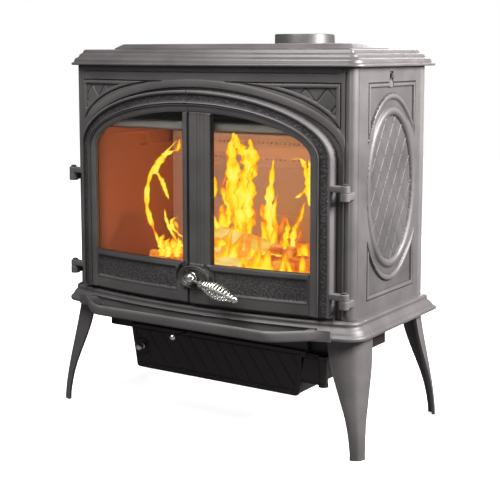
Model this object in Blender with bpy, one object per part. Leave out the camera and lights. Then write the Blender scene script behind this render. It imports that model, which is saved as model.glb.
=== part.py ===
"""A cast-iron wood stove on four legs: bowed front with two arched glass doors, top plate, rear
flue outlet, ash lip, ash box below, and a coil handle. Metres, +Z up, front facing -Y."""

import math

import bmesh
import bpy
from mathutils import Vector

# Body shell, in plan: a bowed front, two rounded front corners, straight sides and back.
BODY_WIDTH = 0.740
BODY_DEPTH = 0.329
FRONT_BOW = 0.048
CORNER_RADIUS = 0.020
BODY_BOTTOM = 0.2823
BODY_HEIGHT = 0.5195
WALL = 0.008
FIT_GAP = 0.0003
OVERLAP = 0.0005
THROUGH = 1.0
LEAST_CORNER = 0.002
CORNER_RETURN = 0.002
BACK_RETURN = 0.020

# Base moulding and legs.
BASE_HEIGHT = 0.037
BASE_LIP = 0.027
BASE_SHELF = 0.012
BASE_SEAM_INSET = 0.0175
LEG_TOP_RADIUS = 0.058
LEG_FOOT_RADIUS = 0.025
LEG_TOP_INSET = 0.011
LEG_SPLAY = 0.010
LEG_WALL = 0.008
LEG_DEPTH_TRIM = 0.004
LEG_BOLT_OFFSET = 0.010
LEG_BOLT_RADIUS = 0.005
LEG_BOLT_HEAD = 0.006
LEG_FLANGE = 0.010
LEG_BOLT_GRIP = 0.016
BOSS_RADIUS = 0.013

# Top plate and its raised griddle.
TOP_THICKNESS = 0.036
TOP_OVERHANG = 0.016
TOP_INSET = 0.0175
TOP_BACK_OVERHANG = 0.022
GRIDDLE_LENGTH = 0.644
GRIDDLE_DEPTH = 0.200
GRIDDLE_RISE = 0.012
GRIDDLE_SLOPE = 0.016
GRIDDLE_CORNER = 0.020

# Flue outlet behind the top plate.
COLLAR_RADIUS = 0.075
COLLAR_WALL = 0.007
COLLAR_TOP = 0.876
COLLAR_HEIGHT = 0.060
OUTLET_BOTTOM = 0.690
OUTLET_HALF_WIDTH = 0.084
OUTLET_FLANGE = 0.008
COLLAR_BEHIND_TOP = 0.004

# Doors: the shared outline is an arch on two straight sides.
DOOR_HALF_WIDTH = 0.332
DOOR_BOTTOM = 0.291
DOOR_SPRING = 0.615
DOOR_RISE = 0.136
DOOR_GAP = 0.0016
DOOR_BACK = 0.004
DOOR_FIELD = 0.014
DOOR_BAND = 0.0165
DOOR_BEAD = 0.022
BEAD_WIDTH = 0.007
BAND_WIDTH = 0.017
GLASS_INSET = 0.046
GLASS_SILL = 0.378
LEFT_STILE = 0.016
RIGHT_STILE = 0.058
RIGHT_STILE_RISE = 0.003
PANEL_BOTTOM = 0.317
PANEL_TOP = 0.366
PANEL_DEPTH = 0.003
PANEL_SIDE = 0.052
GLASS_THICKNESS = 0.004
GLASS_LAP = 0.009
GLASS_SEAT = 0.0043
RETAINER_THICKNESS = 0.003
RETAINER_LAP = 0.014
OPENING_INSET = 0.020
ROPE_INSET = 0.006
ROPE_WIDTH = 0.009
SPANDREL_DEPTH = 0.003
SPANDREL_SIDE = 0.343
SPANDREL_TOP = 0.771
SPANDREL_INSET = 0.022
SPANDREL_START = 0.150
SPANDREL_POWER = 2.4

# Door hinges: a door lug stands on a body lug, round one pin.
HINGE_X = 0.362
HINGE_FORWARD = 0.0235
LUG_RADIUS = 0.010
LUG_HEIGHT = 0.0150
LUG_WEB = 0.015
LUG_TOPS = (0.3290, 0.5505)
BODY_LUG_HEIGHT = 0.0170
PIN_RADIUS = 0.004
PIN_HEAD_RADIUS = 0.0065
PIN_HEAD_HEIGHT = 0.003

# Door handle, on a spindle through the wide stile.
HANDLE_X = 0.016
HANDLE_Z = 0.348
PLATE_HALF_WIDTH = 0.040
PLATE_HALF_HEIGHT = 0.026
PLATE_THICKNESS = 0.005
PLATE_RIM = 0.006
SPINDLE_RADIUS = 0.006
HUB_RADIUS = 0.012
HUB_LENGTH = 0.020
ROD_RADIUS = 0.0035
ROD_LENGTH = 0.139
ROD_TAIL = 0.014
ROD_DROP = math.radians(13.0)
ROD_LEAN = math.radians(6.0)
ROD_COLLAR_RADIUS = 0.0095
ROD_COLLAR_PLACE = 0.036
ROD_COLLAR_LENGTH = 0.004
END_KNOB_RADIUS = 0.0085
END_KNOB_LENGTH = 0.012
END_KNOB_NECK = 0.22
END_KNOB_POLE = 0.94
COIL_WIRE = 0.0030
COIL_TURNS = 11
COIL_END_RADIUS = 0.0072
COIL_SWELL = 0.0095
COIL_BEND = 0.0042
POINTS_PER_TURN = 9
CAM_LENGTH = 0.0225
CAM_WIDTH = 0.016
CAM_THICKNESS = 0.005

# Side panels: a sunk rectangle with a raised oval over it.
RELIEF_DEPTH = 0.0035
RELIEF_BOTTOM = 0.3127
RELIEF_TOP = 0.770
RELIEF_FRONT = -0.1068
RELIEF_BACK = 0.1182
OVAL_HALF_DEPTH = 0.115
OVAL_HALF_HEIGHT = 0.1715
OVAL_BAND = 0.017
OVAL_CENTRE_Z = 0.5435

# Smoke-path damper: a square-ended spindle under the top plate, with a hanging flap.
DAMPER_Y = -0.002
DAMPER_Z = 0.7830
DAMPER_RADIUS = 0.0045
DAMPER_SQUARE = 0.009
DAMPER_POCKET = 0.018
DAMPER_STICKOUT = 0.004
FLAP_DROP = 0.058
FLAP_THICKNESS = 0.004
FLAP_HALF_LENGTH = 0.270

# Firebox lining and what stands in it.
LINING_CLEARANCE = 0.036
LINING_THICKNESS = 0.014
LINING_HALF_WIDTH = BODY_WIDTH / 2 - WALL - LINING_CLEARANCE - LINING_THICKNESS
LINING_TOP = 0.655
LINING_FRONT = -0.152
LINING_BACK = 0.132
LINING_BEVEL = 0.012
FLOOR_THICKNESS = 0.012
GRATE_LENGTH = 0.300
GRATE_DEPTH = 0.150
GRATE_BARS = 9
GRATE_THICKNESS = 0.012
GRATE_REST = 0.008
GRATE_SLOT = 0.014
GRATE_RIM = 0.014
MANIFOLD_HEIGHT = 0.046
MANIFOLD_DEPTH = 0.022
MANIFOLD_BOTTOM = 0.588
HOLE_PITCH = 0.040
HOLE_SIZE = 0.006
BAFFLE_THICKNESS = 0.012
BAFFLE_FRONT = -0.105
BAR_HEIGHT = 0.020
BAR_DEPTH = 0.026
BAR_ABOVE_SPRING = 0.049
BAR_BOTTOM = DOOR_SPRING + BAR_ABOVE_SPRING
BAR_HALF_LENGTH = 0.305
LOG_BAR_HEIGHT = 0.040
LOG_BAR_THICKNESS = 0.010
LOG_BAR_Y = -0.150
LOG_BAR_HALF_LENGTH = 0.230

# Ash lip in front of the base.
ASH_LIP_REACH = 0.065
ASH_LIP_TOP = 0.266
ASH_LIP_BOTTOM = 0.2432
ASH_LIP_FLOOR = 0.005
ASH_LIP_RIM = 0.009
ASH_LIP_FLAT = 0.215
ASH_LIP_END = 0.338
ASH_NOTCH = 0.300
ASH_NOTCH_TOP = 0.266
ASH_BACK_OFFSET = 0.002

# Heat shield, ash box, its door and pan.
SHIELD_HALF_WIDTH = 0.318
SHIELD_FRONT = -0.112
SHIELD_BACK = 0.090
SHIELD_BOTTOM = 0.178
SHIELD_WALL = 0.003
ASH_BOX_TOP_HALF = 0.240
ASH_DOOR_TOP = 0.195
ASH_BOX_BOTTOM_HALF = 0.224
ASH_BOX_BOTTOM = 0.092
ASH_BOX_FRONT = -0.127
ASH_BOX_BACK = 0.080
ASH_BOX_WALL = 0.004
ASH_MOUTH_INSET = 0.012
ASH_DOOR_THICKNESS = 0.007
ASH_BORDER = 0.011
ASH_BORDER_RISE = 0.0012
ASH_HINGE_OUT = 0.043
ASH_LUG_RADIUS = 0.011
ASH_LUG_HEIGHT = 0.007
ASH_LUG_TOP = 0.190
ASH_KNUCKLE = 0.052
ASH_PIN_RADIUS = 0.0035
ASH_CORNER = 0.012
ASH_KNOB_X = -0.205
ASH_KNOB_Z = 0.143
ASH_KNOB_RADIUS = 0.009
ASH_PAN_HEIGHT = 0.062
ASH_PAN_CLEARANCE = 0.006
ASH_PAN_WALL = 0.002
TONGUE_LENGTH = 0.0200
TONGUE_THICKNESS = 0.003

# Air lever and the slide that it moves.
LEVER_X = -0.018
LEVER_Z = 0.2180
LEVER_RADIUS = 0.0025
LEVER_REACH = 0.136
LEVER_BALL_RADIUS = 0.007
VALVE_WIDTH = 0.110
VALVE_HEIGHT = 0.044
VALVE_THICKNESS = 0.004
VALVE_SLOT = 0.028

# Worked out from the sizes above.
HALF_WIDTH = BODY_WIDTH / 2
HALF_DEPTH = BODY_DEPTH / 2
BODY_TOP = BODY_BOTTOM + BODY_HEIGHT
BASE_TOP = BODY_BOTTOM - FIT_GAP
BASE_BOTTOM = BASE_TOP - BASE_HEIGHT
BOW_RADIUS = (HALF_WIDTH**2 + FRONT_BOW**2) / (2 * FRONT_BOW)
BOW_CENTRE = -HALF_DEPTH - FRONT_BOW + BOW_RADIUS
CORNER_X = HALF_WIDTH - CORNER_RADIUS
CORNER_Y = BOW_CENTRE - math.sqrt((BOW_RADIUS - CORNER_RADIUS) ** 2 - CORNER_X**2)
CORNER_ANGLE = math.asin(CORNER_X / (BOW_RADIUS - CORNER_RADIUS))
TOP_BOTTOM = BODY_TOP + FIT_GAP
TOP_TOP = TOP_BOTTOM + TOP_THICKNESS
COLLAR_Y = HALF_DEPTH + TOP_BACK_OVERHANG + COLLAR_BEHIND_TOP + COLLAR_RADIUS
HINGE_Y = -HALF_DEPTH - HINGE_FORWARD
SEAM_Y = CORNER_Y + CORNER_RETURN
BACK_SEAM_Y = HALF_DEPTH - BACK_RETURN
FRONT_STEPS = 20
CORNER_STEPS = 6
ARCH_STEPS = 20


def make_material(name, colour, roughness, metallic):
    """A Principled surface of one colour."""
    material = bpy.data.materials.new(name)
    material.use_nodes = True
    shader = material.node_tree.nodes["Principled BSDF"]
    shader.inputs["Base Color"].default_value = (*colour, 1.0)
    shader.inputs["Roughness"].default_value = roughness
    shader.inputs["Metallic"].default_value = metallic
    return material


def mesh_object(name, points, faces, material=None):
    """An object made from points and faces in the model's own frame, with its faces outwards."""
    mesh = bpy.data.meshes.new(name)
    mesh.from_pydata([tuple(point) for point in points], [], faces)
    shape = bmesh.new()
    shape.from_mesh(mesh)
    bmesh.ops.recalc_face_normals(shape, faces=shape.faces)
    shape.to_mesh(mesh)
    shape.free()
    if material:
        mesh.materials.append(material)
    thing = bpy.data.objects.new(name, mesh)
    bpy.context.scene.collection.objects.link(thing)
    return thing


def ring_faces(rings, count, closed_loop):
    """Quads between neighbouring rings of the same number of points."""
    faces = []
    pairs = range(rings if closed_loop else rings - 1)
    for ring in pairs:
        here = ring * count
        there = (ring + 1) % rings * count
        for i in range(count):
            j = (i + 1) % count
            faces.append((here + i, here + j, there + j, there + i))
    return faces


def loft(name, rings, material=None):
    """A solid through rings of equal length, closed by its first and last ring."""
    count = len(rings[0])
    faces = ring_faces(len(rings), count, False)
    faces.append(tuple(range(count)))
    last = (len(rings) - 1) * count
    faces.append(tuple(range(last + count - 1, last - 1, -1)))
    return mesh_object(name, [point for ring in rings for point in ring], faces, material)


def hoop(name, rings, material=None):
    """A ring-shaped solid: rings of equal length, the last joined to the first."""
    faces = ring_faces(len(rings), len(rings[0]), True)
    return mesh_object(name, [point for ring in rings for point in ring], faces, material)


def box(name, low, high, material=None):
    """A rectangular solid between two corners."""
    (x0, y0, z0), (x1, y1, z1) = low, high
    rings = [[(x0, y0, z), (x1, y0, z), (x1, y1, z), (x0, y1, z)] for z in (z0, z1)]
    return loft(name, rings, material)


def prism_y(name, outline, near, far, material=None):
    """An (x, z) outline carried along Y from near to far."""
    return loft(name, [[(x, y, z) for x, z in outline] for y in (near, far)], material)


def prism_x(name, outline, near, far, material=None):
    """A (y, z) outline carried along X from near to far."""
    return loft(name, [[(x, y, z) for y, z in outline] for x in (near, far)], material)


def prism_z(name, outline, low, high, material=None):
    """An (x, y) outline carried along Z from low to high."""
    return loft(name, [[(x, y, z) for x, y in outline] for z in (low, high)], material)


def ellipse(centre, half_a, half_b, steps):
    """Points round an ellipse in the plane of an outline."""
    angles = [2 * math.pi * i / steps for i in range(steps)]
    return [(centre[0] + half_a * math.cos(a), centre[1] + half_b * math.sin(a)) for a in angles]


def turned(name, start, direction, profile, steps, material=None):
    """A solid of revolution: profile holds (distance along the axis, radius) pairs."""
    along = Vector(direction).normalized()
    across = along.orthogonal().normalized()
    third = along.cross(across)
    rings = []
    for distance, radius in profile:
        centre = Vector(start) + along * distance
        angles = [2 * math.pi * i / steps for i in range(steps)]
        rings.append([centre + radius * (across * math.cos(a) + third * math.sin(a)) for a in angles])
    thing = loft(name, rings, material)
    if material:
        thing.data.shade_smooth()
        thing.data.set_sharp_from_angle(angle=math.radians(40))
    return thing


def combine(target, tool, operation):
    """Adds a Boolean to the target and keeps the tool out of the model."""
    change = target.modifiers.new(operation.title(), "BOOLEAN")
    change.operation = operation
    change.object = tool
    change.solver = "EXACT"
    tool.hide_render = True
    tool.display_type = "WIRE"
    return target


def cut(target, tool):
    return combine(target, tool, "DIFFERENCE")


def join(target, tool):
    return combine(target, tool, "UNION")


def keep(target, tool):
    return combine(target, tool, "INTERSECT")


def pivot_at(name, place):
    """An empty on a joint's axis, which carries the pieces that turn or slide with it."""
    empty = bpy.data.objects.new(name, None)
    empty.location = place
    bpy.context.scene.collection.objects.link(empty)
    return empty


def carry(empty, pieces):
    """Parents pieces to an empty with their origins on it, and leaves them where they are."""
    for piece in pieces:
        for vertex in piece.data.vertices:
            vertex.co -= empty.location
        piece.parent = empty


def front_y(x, offset=0.0):
    """Y of the bowed front at x, a distance outside the body's face."""
    return BOW_CENTRE - math.sqrt((BOW_RADIUS + offset) ** 2 - x**2)


def plan_outline(offset, back_offset=None):
    """The body's plan, grown by an offset: front arc, right corner, back, left corner."""
    back = HALF_DEPTH + (offset if back_offset is None else back_offset)
    points = []
    for step in range(FRONT_STEPS + 1):
        angle = CORNER_ANGLE * (2 * step / FRONT_STEPS - 1)
        reach = BOW_RADIUS + offset
        points.append((reach * math.sin(angle), BOW_CENTRE - reach * math.cos(angle)))
    corner = []
    for step in range(1, CORNER_STEPS + 1):
        angle = CORNER_ANGLE + (math.pi / 2 - CORNER_ANGLE) * step / CORNER_STEPS
        reach = max(CORNER_RADIUS + offset, LEAST_CORNER)
        centre = (HALF_WIDTH + offset - reach, CORNER_Y - (CORNER_RADIUS + offset - reach))
        corner.append((centre[0] + reach * math.sin(angle), centre[1] - reach * math.cos(angle)))
    points += corner
    points += [(HALF_WIDTH + offset, back), (-HALF_WIDTH - offset, back)]
    points += [(-x, y) for x, y in reversed(corner)]
    return points


def plan_ring(offset, z, back_offset=None):
    return [(x, y, z) for x, y in plan_outline(offset, back_offset)]


def bowed_slab(name, left, right, low, high, near, far, material=None):
    """A plate that follows the bowed front between two distances from the body's face."""
    steps = max(2, round(FRONT_STEPS * (right - left) / BODY_WIDTH))
    places = [left + (right - left) * i / steps for i in range(steps + 1)]
    outline = [(x, front_y(x, far)) for x in places]
    outline += [(x, front_y(x, near)) for x in reversed(places)]
    return prism_z(name, outline, low, high, material)


def arch_z(x, inset):
    """Height of the door outline at x, drawn in by an inset."""
    share = min(1.0, abs(x) / (DOOR_HALF_WIDTH - inset))
    return DOOR_SPRING + (DOOR_RISE - inset) * math.sqrt(1 - share**2)


def arch_points(inset, start):
    """Points over the right half of the arch, from its spring up to x = start."""
    half = DOOR_HALF_WIDTH - inset
    last = math.acos(start / half)
    angles = [last * i / ARCH_STEPS for i in range(ARCH_STEPS + 1)]
    return [(half * math.cos(a), DOOR_SPRING + (DOOR_RISE - inset) * math.sin(a)) for a in angles]


def half_outline(side, inset, start, low):
    """The outline of one door, or of its opening: up the outer side and over the arch."""
    points = [(start, low), (DOOR_HALF_WIDTH - inset, low)] + arch_points(inset, start)
    return [(side * x, z) for x, z in points]


def half_band(side, outer, inner, start, low):
    """A strip of even width up one door's outer side and over its arch."""
    points = [(DOOR_HALF_WIDTH - outer, low)] + arch_points(outer, start)
    back = [(DOOR_HALF_WIDTH - inner, low)] + arch_points(inner, start)
    return [(side * x, z) for x, z in points + back[::-1]]


def full_outline(inset, low):
    """The outline over both doors, drawn in by an inset."""
    right = [(DOOR_HALF_WIDTH - inset, low)] + arch_points(inset, 0.0)
    return right + [(-x, z) for x, z in reversed(right[:-1])]


def carved_band(name, outline, near):
    """A cutter over an outline that clears everything further out than a distance."""
    cutter = bowed_slab(name, -HALF_WIDTH, HALF_WIDTH, BODY_BOTTOM, BODY_TOP, near, near + 0.03)
    reach = HALF_DEPTH + FRONT_BOW + 2 * DOOR_BEAD
    return keep(cutter, prism_y(name + "_reach", outline, -reach, 0.0))


def base_sections(iron):
    """The moulded base: one hoop under the body, cut into front, sides and back."""
    bottom = BASE_BOTTOM
    profile = [
        (0.004, BASE_TOP),
        (0.011, BASE_TOP - 0.004),
        (0.011, BASE_TOP - 0.010),
        (0.015, BASE_TOP - 0.015),
        (0.021, BASE_TOP - 0.024),
        (BASE_LIP - 0.002, BASE_TOP - 0.029),
        (BASE_LIP, bottom + 0.004),
        (BASE_LIP, bottom),
        (-BASE_SHELF, bottom),
        (-BASE_SHELF, BASE_TOP),
    ]
    seam = CORNER_Y + BASE_SEAM_INSET
    back_seam = HALF_DEPTH - BASE_SHELF - FIT_GAP
    reach = HALF_WIDTH + BASE_LIP + 0.02
    limits = {
        "base_front": ((-reach, -1, 0), (reach, seam, 1)),
        "base_side_right": ((0.1, seam + FIT_GAP, 0), (reach, back_seam, 1)),
        "base_side_left": ((-reach, seam + FIT_GAP, 0), (-0.1, back_seam, 1)),
        "base_back": ((-reach, back_seam + FIT_GAP, 0), (reach, 1, 1)),
    }
    for name, (low, high) in limits.items():
        section = hoop(name, [plan_ring(offset, z) for offset, z in profile], iron)
        keep(section, box(name + "_cutter", low, high))
        if name == "base_front":
            notch = bowed_slab(
                "lip_notch", -ASH_NOTCH, ASH_NOTCH, 0, ASH_NOTCH_TOP + FIT_GAP, ASH_BACK_OFFSET, 2 * BASE_LIP,
            )
            cut(section, notch)


def bottom_plate(iron, spots):
    """The firebox floor inside the base, with the ash drop and a boss over each leg."""
    ring = plan_outline(-BASE_SHELF - FIT_GAP)
    plate = prism_z("bottom_plate", ring, BASE_TOP - FLOOR_THICKNESS, BASE_TOP, iron)
    half = (GRATE_LENGTH / 2 - GRATE_REST, GRATE_DEPTH / 2 - GRATE_REST)
    cut(plate, box("ash_drop_cutter", (-half[0], -half[1], 0), (half[0], half[1], 1)))
    height = BASE_HEIGHT - FLOOR_THICKNESS / 2
    for place, spot in spots.items():
        boss = [(0, BOSS_RADIUS), (height, BOSS_RADIUS)]
        bore = [(0, LEG_BOLT_RADIUS + FIT_GAP), (0.01 + LEG_BOLT_GRIP, LEG_BOLT_RADIUS + FIT_GAP)]
        join(plate, turned(f"boss_{place}", (*spot, BASE_BOTTOM), (0, 0, 1), boss, 16))
        cut(plate, turned(f"boss_bore_{place}", (*spot, BASE_BOTTOM - 0.01), (0, 0, 1), bore, 12))
    return plate


def leg_section(corner, radius, thickness):
    """A quarter-round shell in plan, seen from its centre outwards to the corner."""
    centre = (corner[0] - radius, corner[1] - radius)
    steps = 6
    angles = [math.pi / 2 * i / steps for i in range(steps + 1)]
    outer = [(centre[0] + radius * math.cos(a), centre[1] + radius * math.sin(a)) for a in angles]
    inner_radius = radius - thickness
    inner = [
        (centre[0] + inner_radius * math.cos(a), centre[1] + inner_radius * math.sin(a))
        for a in reversed(angles)
    ]
    return outer + inner


def leg(name, side, end, iron):
    """One splayed leg: a hollow quarter-round that narrows towards the foot."""
    top = BASE_BOTTOM - FIT_GAP
    levels = 8
    rings = []
    for level in range(levels + 1):
        share = level / levels
        z = top * share
        narrow = share * share * (3 - 2 * share)
        radius = LEG_FOOT_RADIUS + (LEG_TOP_RADIUS - LEG_FOOT_RADIUS) * narrow
        splay = BASE_LIP + LEG_SPLAY - (LEG_SPLAY + LEG_TOP_INSET) * share**1.3
        corner = (HALF_WIDTH + splay, HALF_DEPTH + splay - LEG_DEPTH_TRIM)
        section = leg_section(corner, radius, LEG_WALL)
        rings.append([(side * x, end * y, z) for x, y in section])
    limb = loft(name, rings, iron)
    out = BASE_LIP - LEG_TOP_INSET
    reach = (HALF_WIDTH + out, HALF_DEPTH + out - LEG_DEPTH_TRIM)
    span = LEG_TOP_RADIUS + LEG_WALL / 2
    radius = LEG_TOP_RADIUS
    centre = (reach[0] - radius, reach[1] - radius)
    arc = [math.pi / 2 * i / 6 for i in range(7)]
    inset = LEG_WALL / 2
    plan = [
        (centre[0] + (radius - inset) * math.cos(a), centre[1] + (radius - inset) * math.sin(a))
        for a in arc
    ]
    plan += [(reach[0] - span, reach[1] - inset), (reach[0] - span, reach[1] - span)]
    plan += [(reach[0] - inset, reach[1] - span)]
    plan = [(side * x, end * y) for x, y in plan]
    flange = prism_z(name + "_flange", plan, top - LEG_FLANGE, top - OVERLAP / 10)
    join(limb, flange)
    spot = (side * (centre[0] + LEG_BOLT_OFFSET), end * (centre[1] + LEG_BOLT_OFFSET))
    hole = turned(
        name + "_hole", (*spot, top - 0.05), (0, 0, 1),
        [(0, LEG_BOLT_RADIUS + FIT_GAP), (0.1, LEG_BOLT_RADIUS + FIT_GAP)], 12,
    )
    cut(limb, hole)
    limb.data.shade_smooth()
    limb.data.set_sharp_from_angle(angle=math.radians(40))
    return spot


def leg_bolt(name, spot, steel):
    """A hexagon bolt through the leg's flange into the floor's boss."""
    top = BASE_BOTTOM - FIT_GAP
    under = top - LEG_FLANGE - FIT_GAP
    profile = [
        (-LEG_BOLT_HEAD, 1.8 * LEG_BOLT_RADIUS),
        (0, 1.8 * LEG_BOLT_RADIUS),
        (0, LEG_BOLT_RADIUS),
        (LEG_FLANGE + LEG_BOLT_GRIP, LEG_BOLT_RADIUS),
    ]
    turned(name, (*spot, under), (0, 0, 1), profile, 6, steel)


def front_frame(iron):
    """The front casting: bowed plate and corner columns, door opening, spandrels and hinge lugs."""
    outer = plan_outline(0.0)[: FRONT_STEPS + CORNER_STEPS + 1]
    outer += [(HALF_WIDTH, SEAM_Y), (-HALF_WIDTH, SEAM_Y)]
    outer += plan_outline(0.0)[-CORNER_STEPS:]
    inner = plan_outline(-WALL)[: FRONT_STEPS + CORNER_STEPS + 1]
    inner += [(HALF_WIDTH - WALL, SEAM_Y + 0.01), (-HALF_WIDTH + WALL, SEAM_Y + 0.01)]
    inner += plan_outline(-WALL)[-CORNER_STEPS:]
    frame = prism_z("front_frame", outer, BODY_BOTTOM, BODY_TOP, iron)
    cut(frame, prism_z("front_hollow", inner, BODY_BOTTOM - 0.01, BODY_TOP + 0.01))
    opening = full_outline(OPENING_INSET, DOOR_BOTTOM + OPENING_INSET)
    cut(frame, prism_y("door_opening", opening, -THROUGH, 0.0))
    for side, word in ((1, "right"), (-1, "left")):
        corner = [(SPANDREL_SIDE, SPANDREL_TOP)]
        curve = []
        for step in range(ARCH_STEPS + 1):
            x = SPANDREL_START + (SPANDREL_SIDE - SPANDREL_START) * step / ARCH_STEPS
            reach = DOOR_HALF_WIDTH + SPANDREL_INSET
            rise = SPANDREL_TOP - DOOR_SPRING
            drop = (x / reach) ** SPANDREL_POWER
            curve.append((x, DOOR_SPRING + rise * (1 - drop) ** (1 / SPANDREL_POWER)))
        outline = [(side * x, z) for x, z in corner + [(SPANDREL_START, SPANDREL_TOP)] + curve]
        cut(frame, carved_band(f"spandrel_{word}", outline, -SPANDREL_DEPTH))
        for top in LUG_TOPS:
            low = top - BODY_LUG_HEIGHT
            hub = turned(
                f"body_lug_{word}_{round(top * 1000)}", (side * HINGE_X, HINGE_Y, low), (0, 0, 1),
                [(0, LUG_RADIUS), (BODY_LUG_HEIGHT, LUG_RADIUS)], 16,
            )
            web = box(
                f"body_web_{word}_{round(top * 1000)}",
                (side * HINGE_X - LUG_WEB / 2, HINGE_Y, low + OVERLAP),
                (side * HINGE_X + LUG_WEB / 2, CORNER_Y - CORNER_RADIUS + WALL, top - OVERLAP),
            )
            bore = turned(
                f"body_bore_{word}_{round(top * 1000)}", (side * HINGE_X, HINGE_Y, low - 0.01),
                (0, 0, 1), [(0, PIN_RADIUS + FIT_GAP), (0.04, PIN_RADIUS + FIT_GAP)], 16,
            )
            join(frame, web)
            join(frame, hub)
            cut(frame, bore)
    return frame


def side_panel(name, side, iron):
    """One side casting: a sunk rectangle, with a raised oval band round a sunk oval."""
    near = SEAM_Y + FIT_GAP
    far = BACK_SEAM_Y - FIT_GAP
    low = (side * (HALF_WIDTH - WALL), near, BODY_BOTTOM)
    high = (side * HALF_WIDTH, far, BODY_TOP)
    panel = box(name, [min(a, b) for a, b in zip(low, high)], [max(a, b) for a, b in zip(low, high)], iron)
    depth = side * (HALF_WIDTH - RELIEF_DEPTH)
    past = side * (HALF_WIDTH + 0.01)
    middle_y = (RELIEF_FRONT + RELIEF_BACK) / 2
    rectangle = [
        (RELIEF_FRONT, RELIEF_BOTTOM), (RELIEF_BACK, RELIEF_BOTTOM),
        (RELIEF_BACK, RELIEF_TOP), (RELIEF_FRONT, RELIEF_TOP),
    ]
    sunk = prism_x(name + "_sunk", rectangle, depth, past)
    centre = (middle_y, OVAL_CENTRE_Z)
    raised = prism_x(
        name + "_oval", ellipse(centre, OVAL_HALF_DEPTH, OVAL_HALF_HEIGHT, 32), 0.0, side * BODY_WIDTH,
    )
    cut(sunk, raised)
    cut(panel, sunk)
    inside = ellipse(centre, OVAL_HALF_DEPTH - OVAL_BAND, OVAL_HALF_HEIGHT - OVAL_BAND, 32)
    cut(panel, prism_x(name + "_inner", inside, depth, past))
    if side > 0:
        half = DAMPER_POCKET / 2
        pocket = [
            (DAMPER_Y - half, DAMPER_Z + half), (DAMPER_Y - half, DAMPER_Z - half),
            (DAMPER_Y, DAMPER_Z - 2 * half), (DAMPER_Y + half, DAMPER_Z - half),
            (DAMPER_Y + half, DAMPER_Z + half),
        ]
        cut(panel, prism_x(name + "_pocket", pocket, HALF_WIDTH - WALL / 2, past))
        bore = [(0, DAMPER_RADIUS + 2 * FIT_GAP), (0.05, DAMPER_RADIUS + 2 * FIT_GAP)]
        start = (HALF_WIDTH - 0.03, DAMPER_Y, DAMPER_Z)
        cut(panel, turned(name + "_bore", start, (1, 0, 0), bore, 12))
    return panel


def back_panel(iron):
    """The back casting, with a return at each side and the hole for the flue outlet."""
    half = HALF_WIDTH
    outline = [
        (-half, BACK_SEAM_Y), (-half + WALL, BACK_SEAM_Y), (-half + WALL, HALF_DEPTH - WALL),
        (half - WALL, HALF_DEPTH - WALL), (half - WALL, BACK_SEAM_Y), (half, BACK_SEAM_Y),
        (half, HALF_DEPTH), (-half, HALF_DEPTH),
    ]
    panel = prism_z("back_panel", outline, BODY_BOTTOM, BODY_TOP, iron)
    hole = outlet_mouth()
    cut(panel, box("flue_hole", (-hole[0], 0, hole[1]), (hole[0], 1, hole[2])))
    return panel


def outlet_mouth():
    """Half width, bottom and top of the opening between the firebox and the flue outlet."""
    margin = COLLAR_WALL + OUTLET_FLANGE
    return (OUTLET_HALF_WIDTH - margin, OUTLET_BOTTOM + margin, BODY_TOP - margin)


def top_plate(iron):
    """The moulded top: an overhanging lip, two rounded steps, and a hollow underside."""
    z = TOP_BOTTOM
    overhang = TOP_OVERHANG
    run = TOP_OVERHANG + TOP_INSET
    profile = [
        (overhang - 0.002, z),
        (overhang, z + 0.002),
        (overhang - 0.001, z + 0.005),
        (overhang - 0.006, z + 0.007),
        (overhang - 0.008, z + 0.013),
        (overhang - 0.012, z + 0.017),
        (overhang - 0.016, z + 0.018),
        (overhang - 0.019, z + 0.024),
        (overhang - 0.023, z + 0.027),
        (overhang - 0.026, z + 0.028),
        (overhang - 0.028, z + 0.033),
        (overhang - run, z + TOP_THICKNESS),
    ]
    rings = []
    for offset, height in profile:
        rings.append(plan_ring(offset, height, TOP_BACK_OVERHANG + offset - overhang))
    plate = loft("top_plate", rings, iron)
    hollow = plan_outline(-TOP_INSET - WALL, -TOP_INSET - WALL)
    cut(plate, prism_z("top_hollow", hollow, z - 0.01, z + TOP_THICKNESS - 2 * WALL))
    plate.data.shade_smooth()
    plate.data.set_sharp_from_angle(angle=math.radians(40))
    return plate


def griddle(iron):
    """The raised cover that rests on the top plate, with sloped edges."""
    low = TOP_TOP + FIT_GAP
    rings = []
    for inset, z in ((0, low), (0, low + 0.002), (GRIDDLE_SLOPE, low + GRIDDLE_RISE)):
        x = GRIDDLE_LENGTH / 2 - inset
        y = GRIDDLE_DEPTH / 2 - inset
        corners = []
        for sx, sy in ((1, -1), (1, 1), (-1, 1), (-1, -1)):
            pair = [(sx * (x - GRIDDLE_CORNER), sy * y, z), (sx * x, sy * (y - GRIDDLE_CORNER), z)]
            corners += pair if sx * sy < 0 else pair[::-1]
        rings.append(corners)
    return loft("top_griddle", rings, iron)


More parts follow.
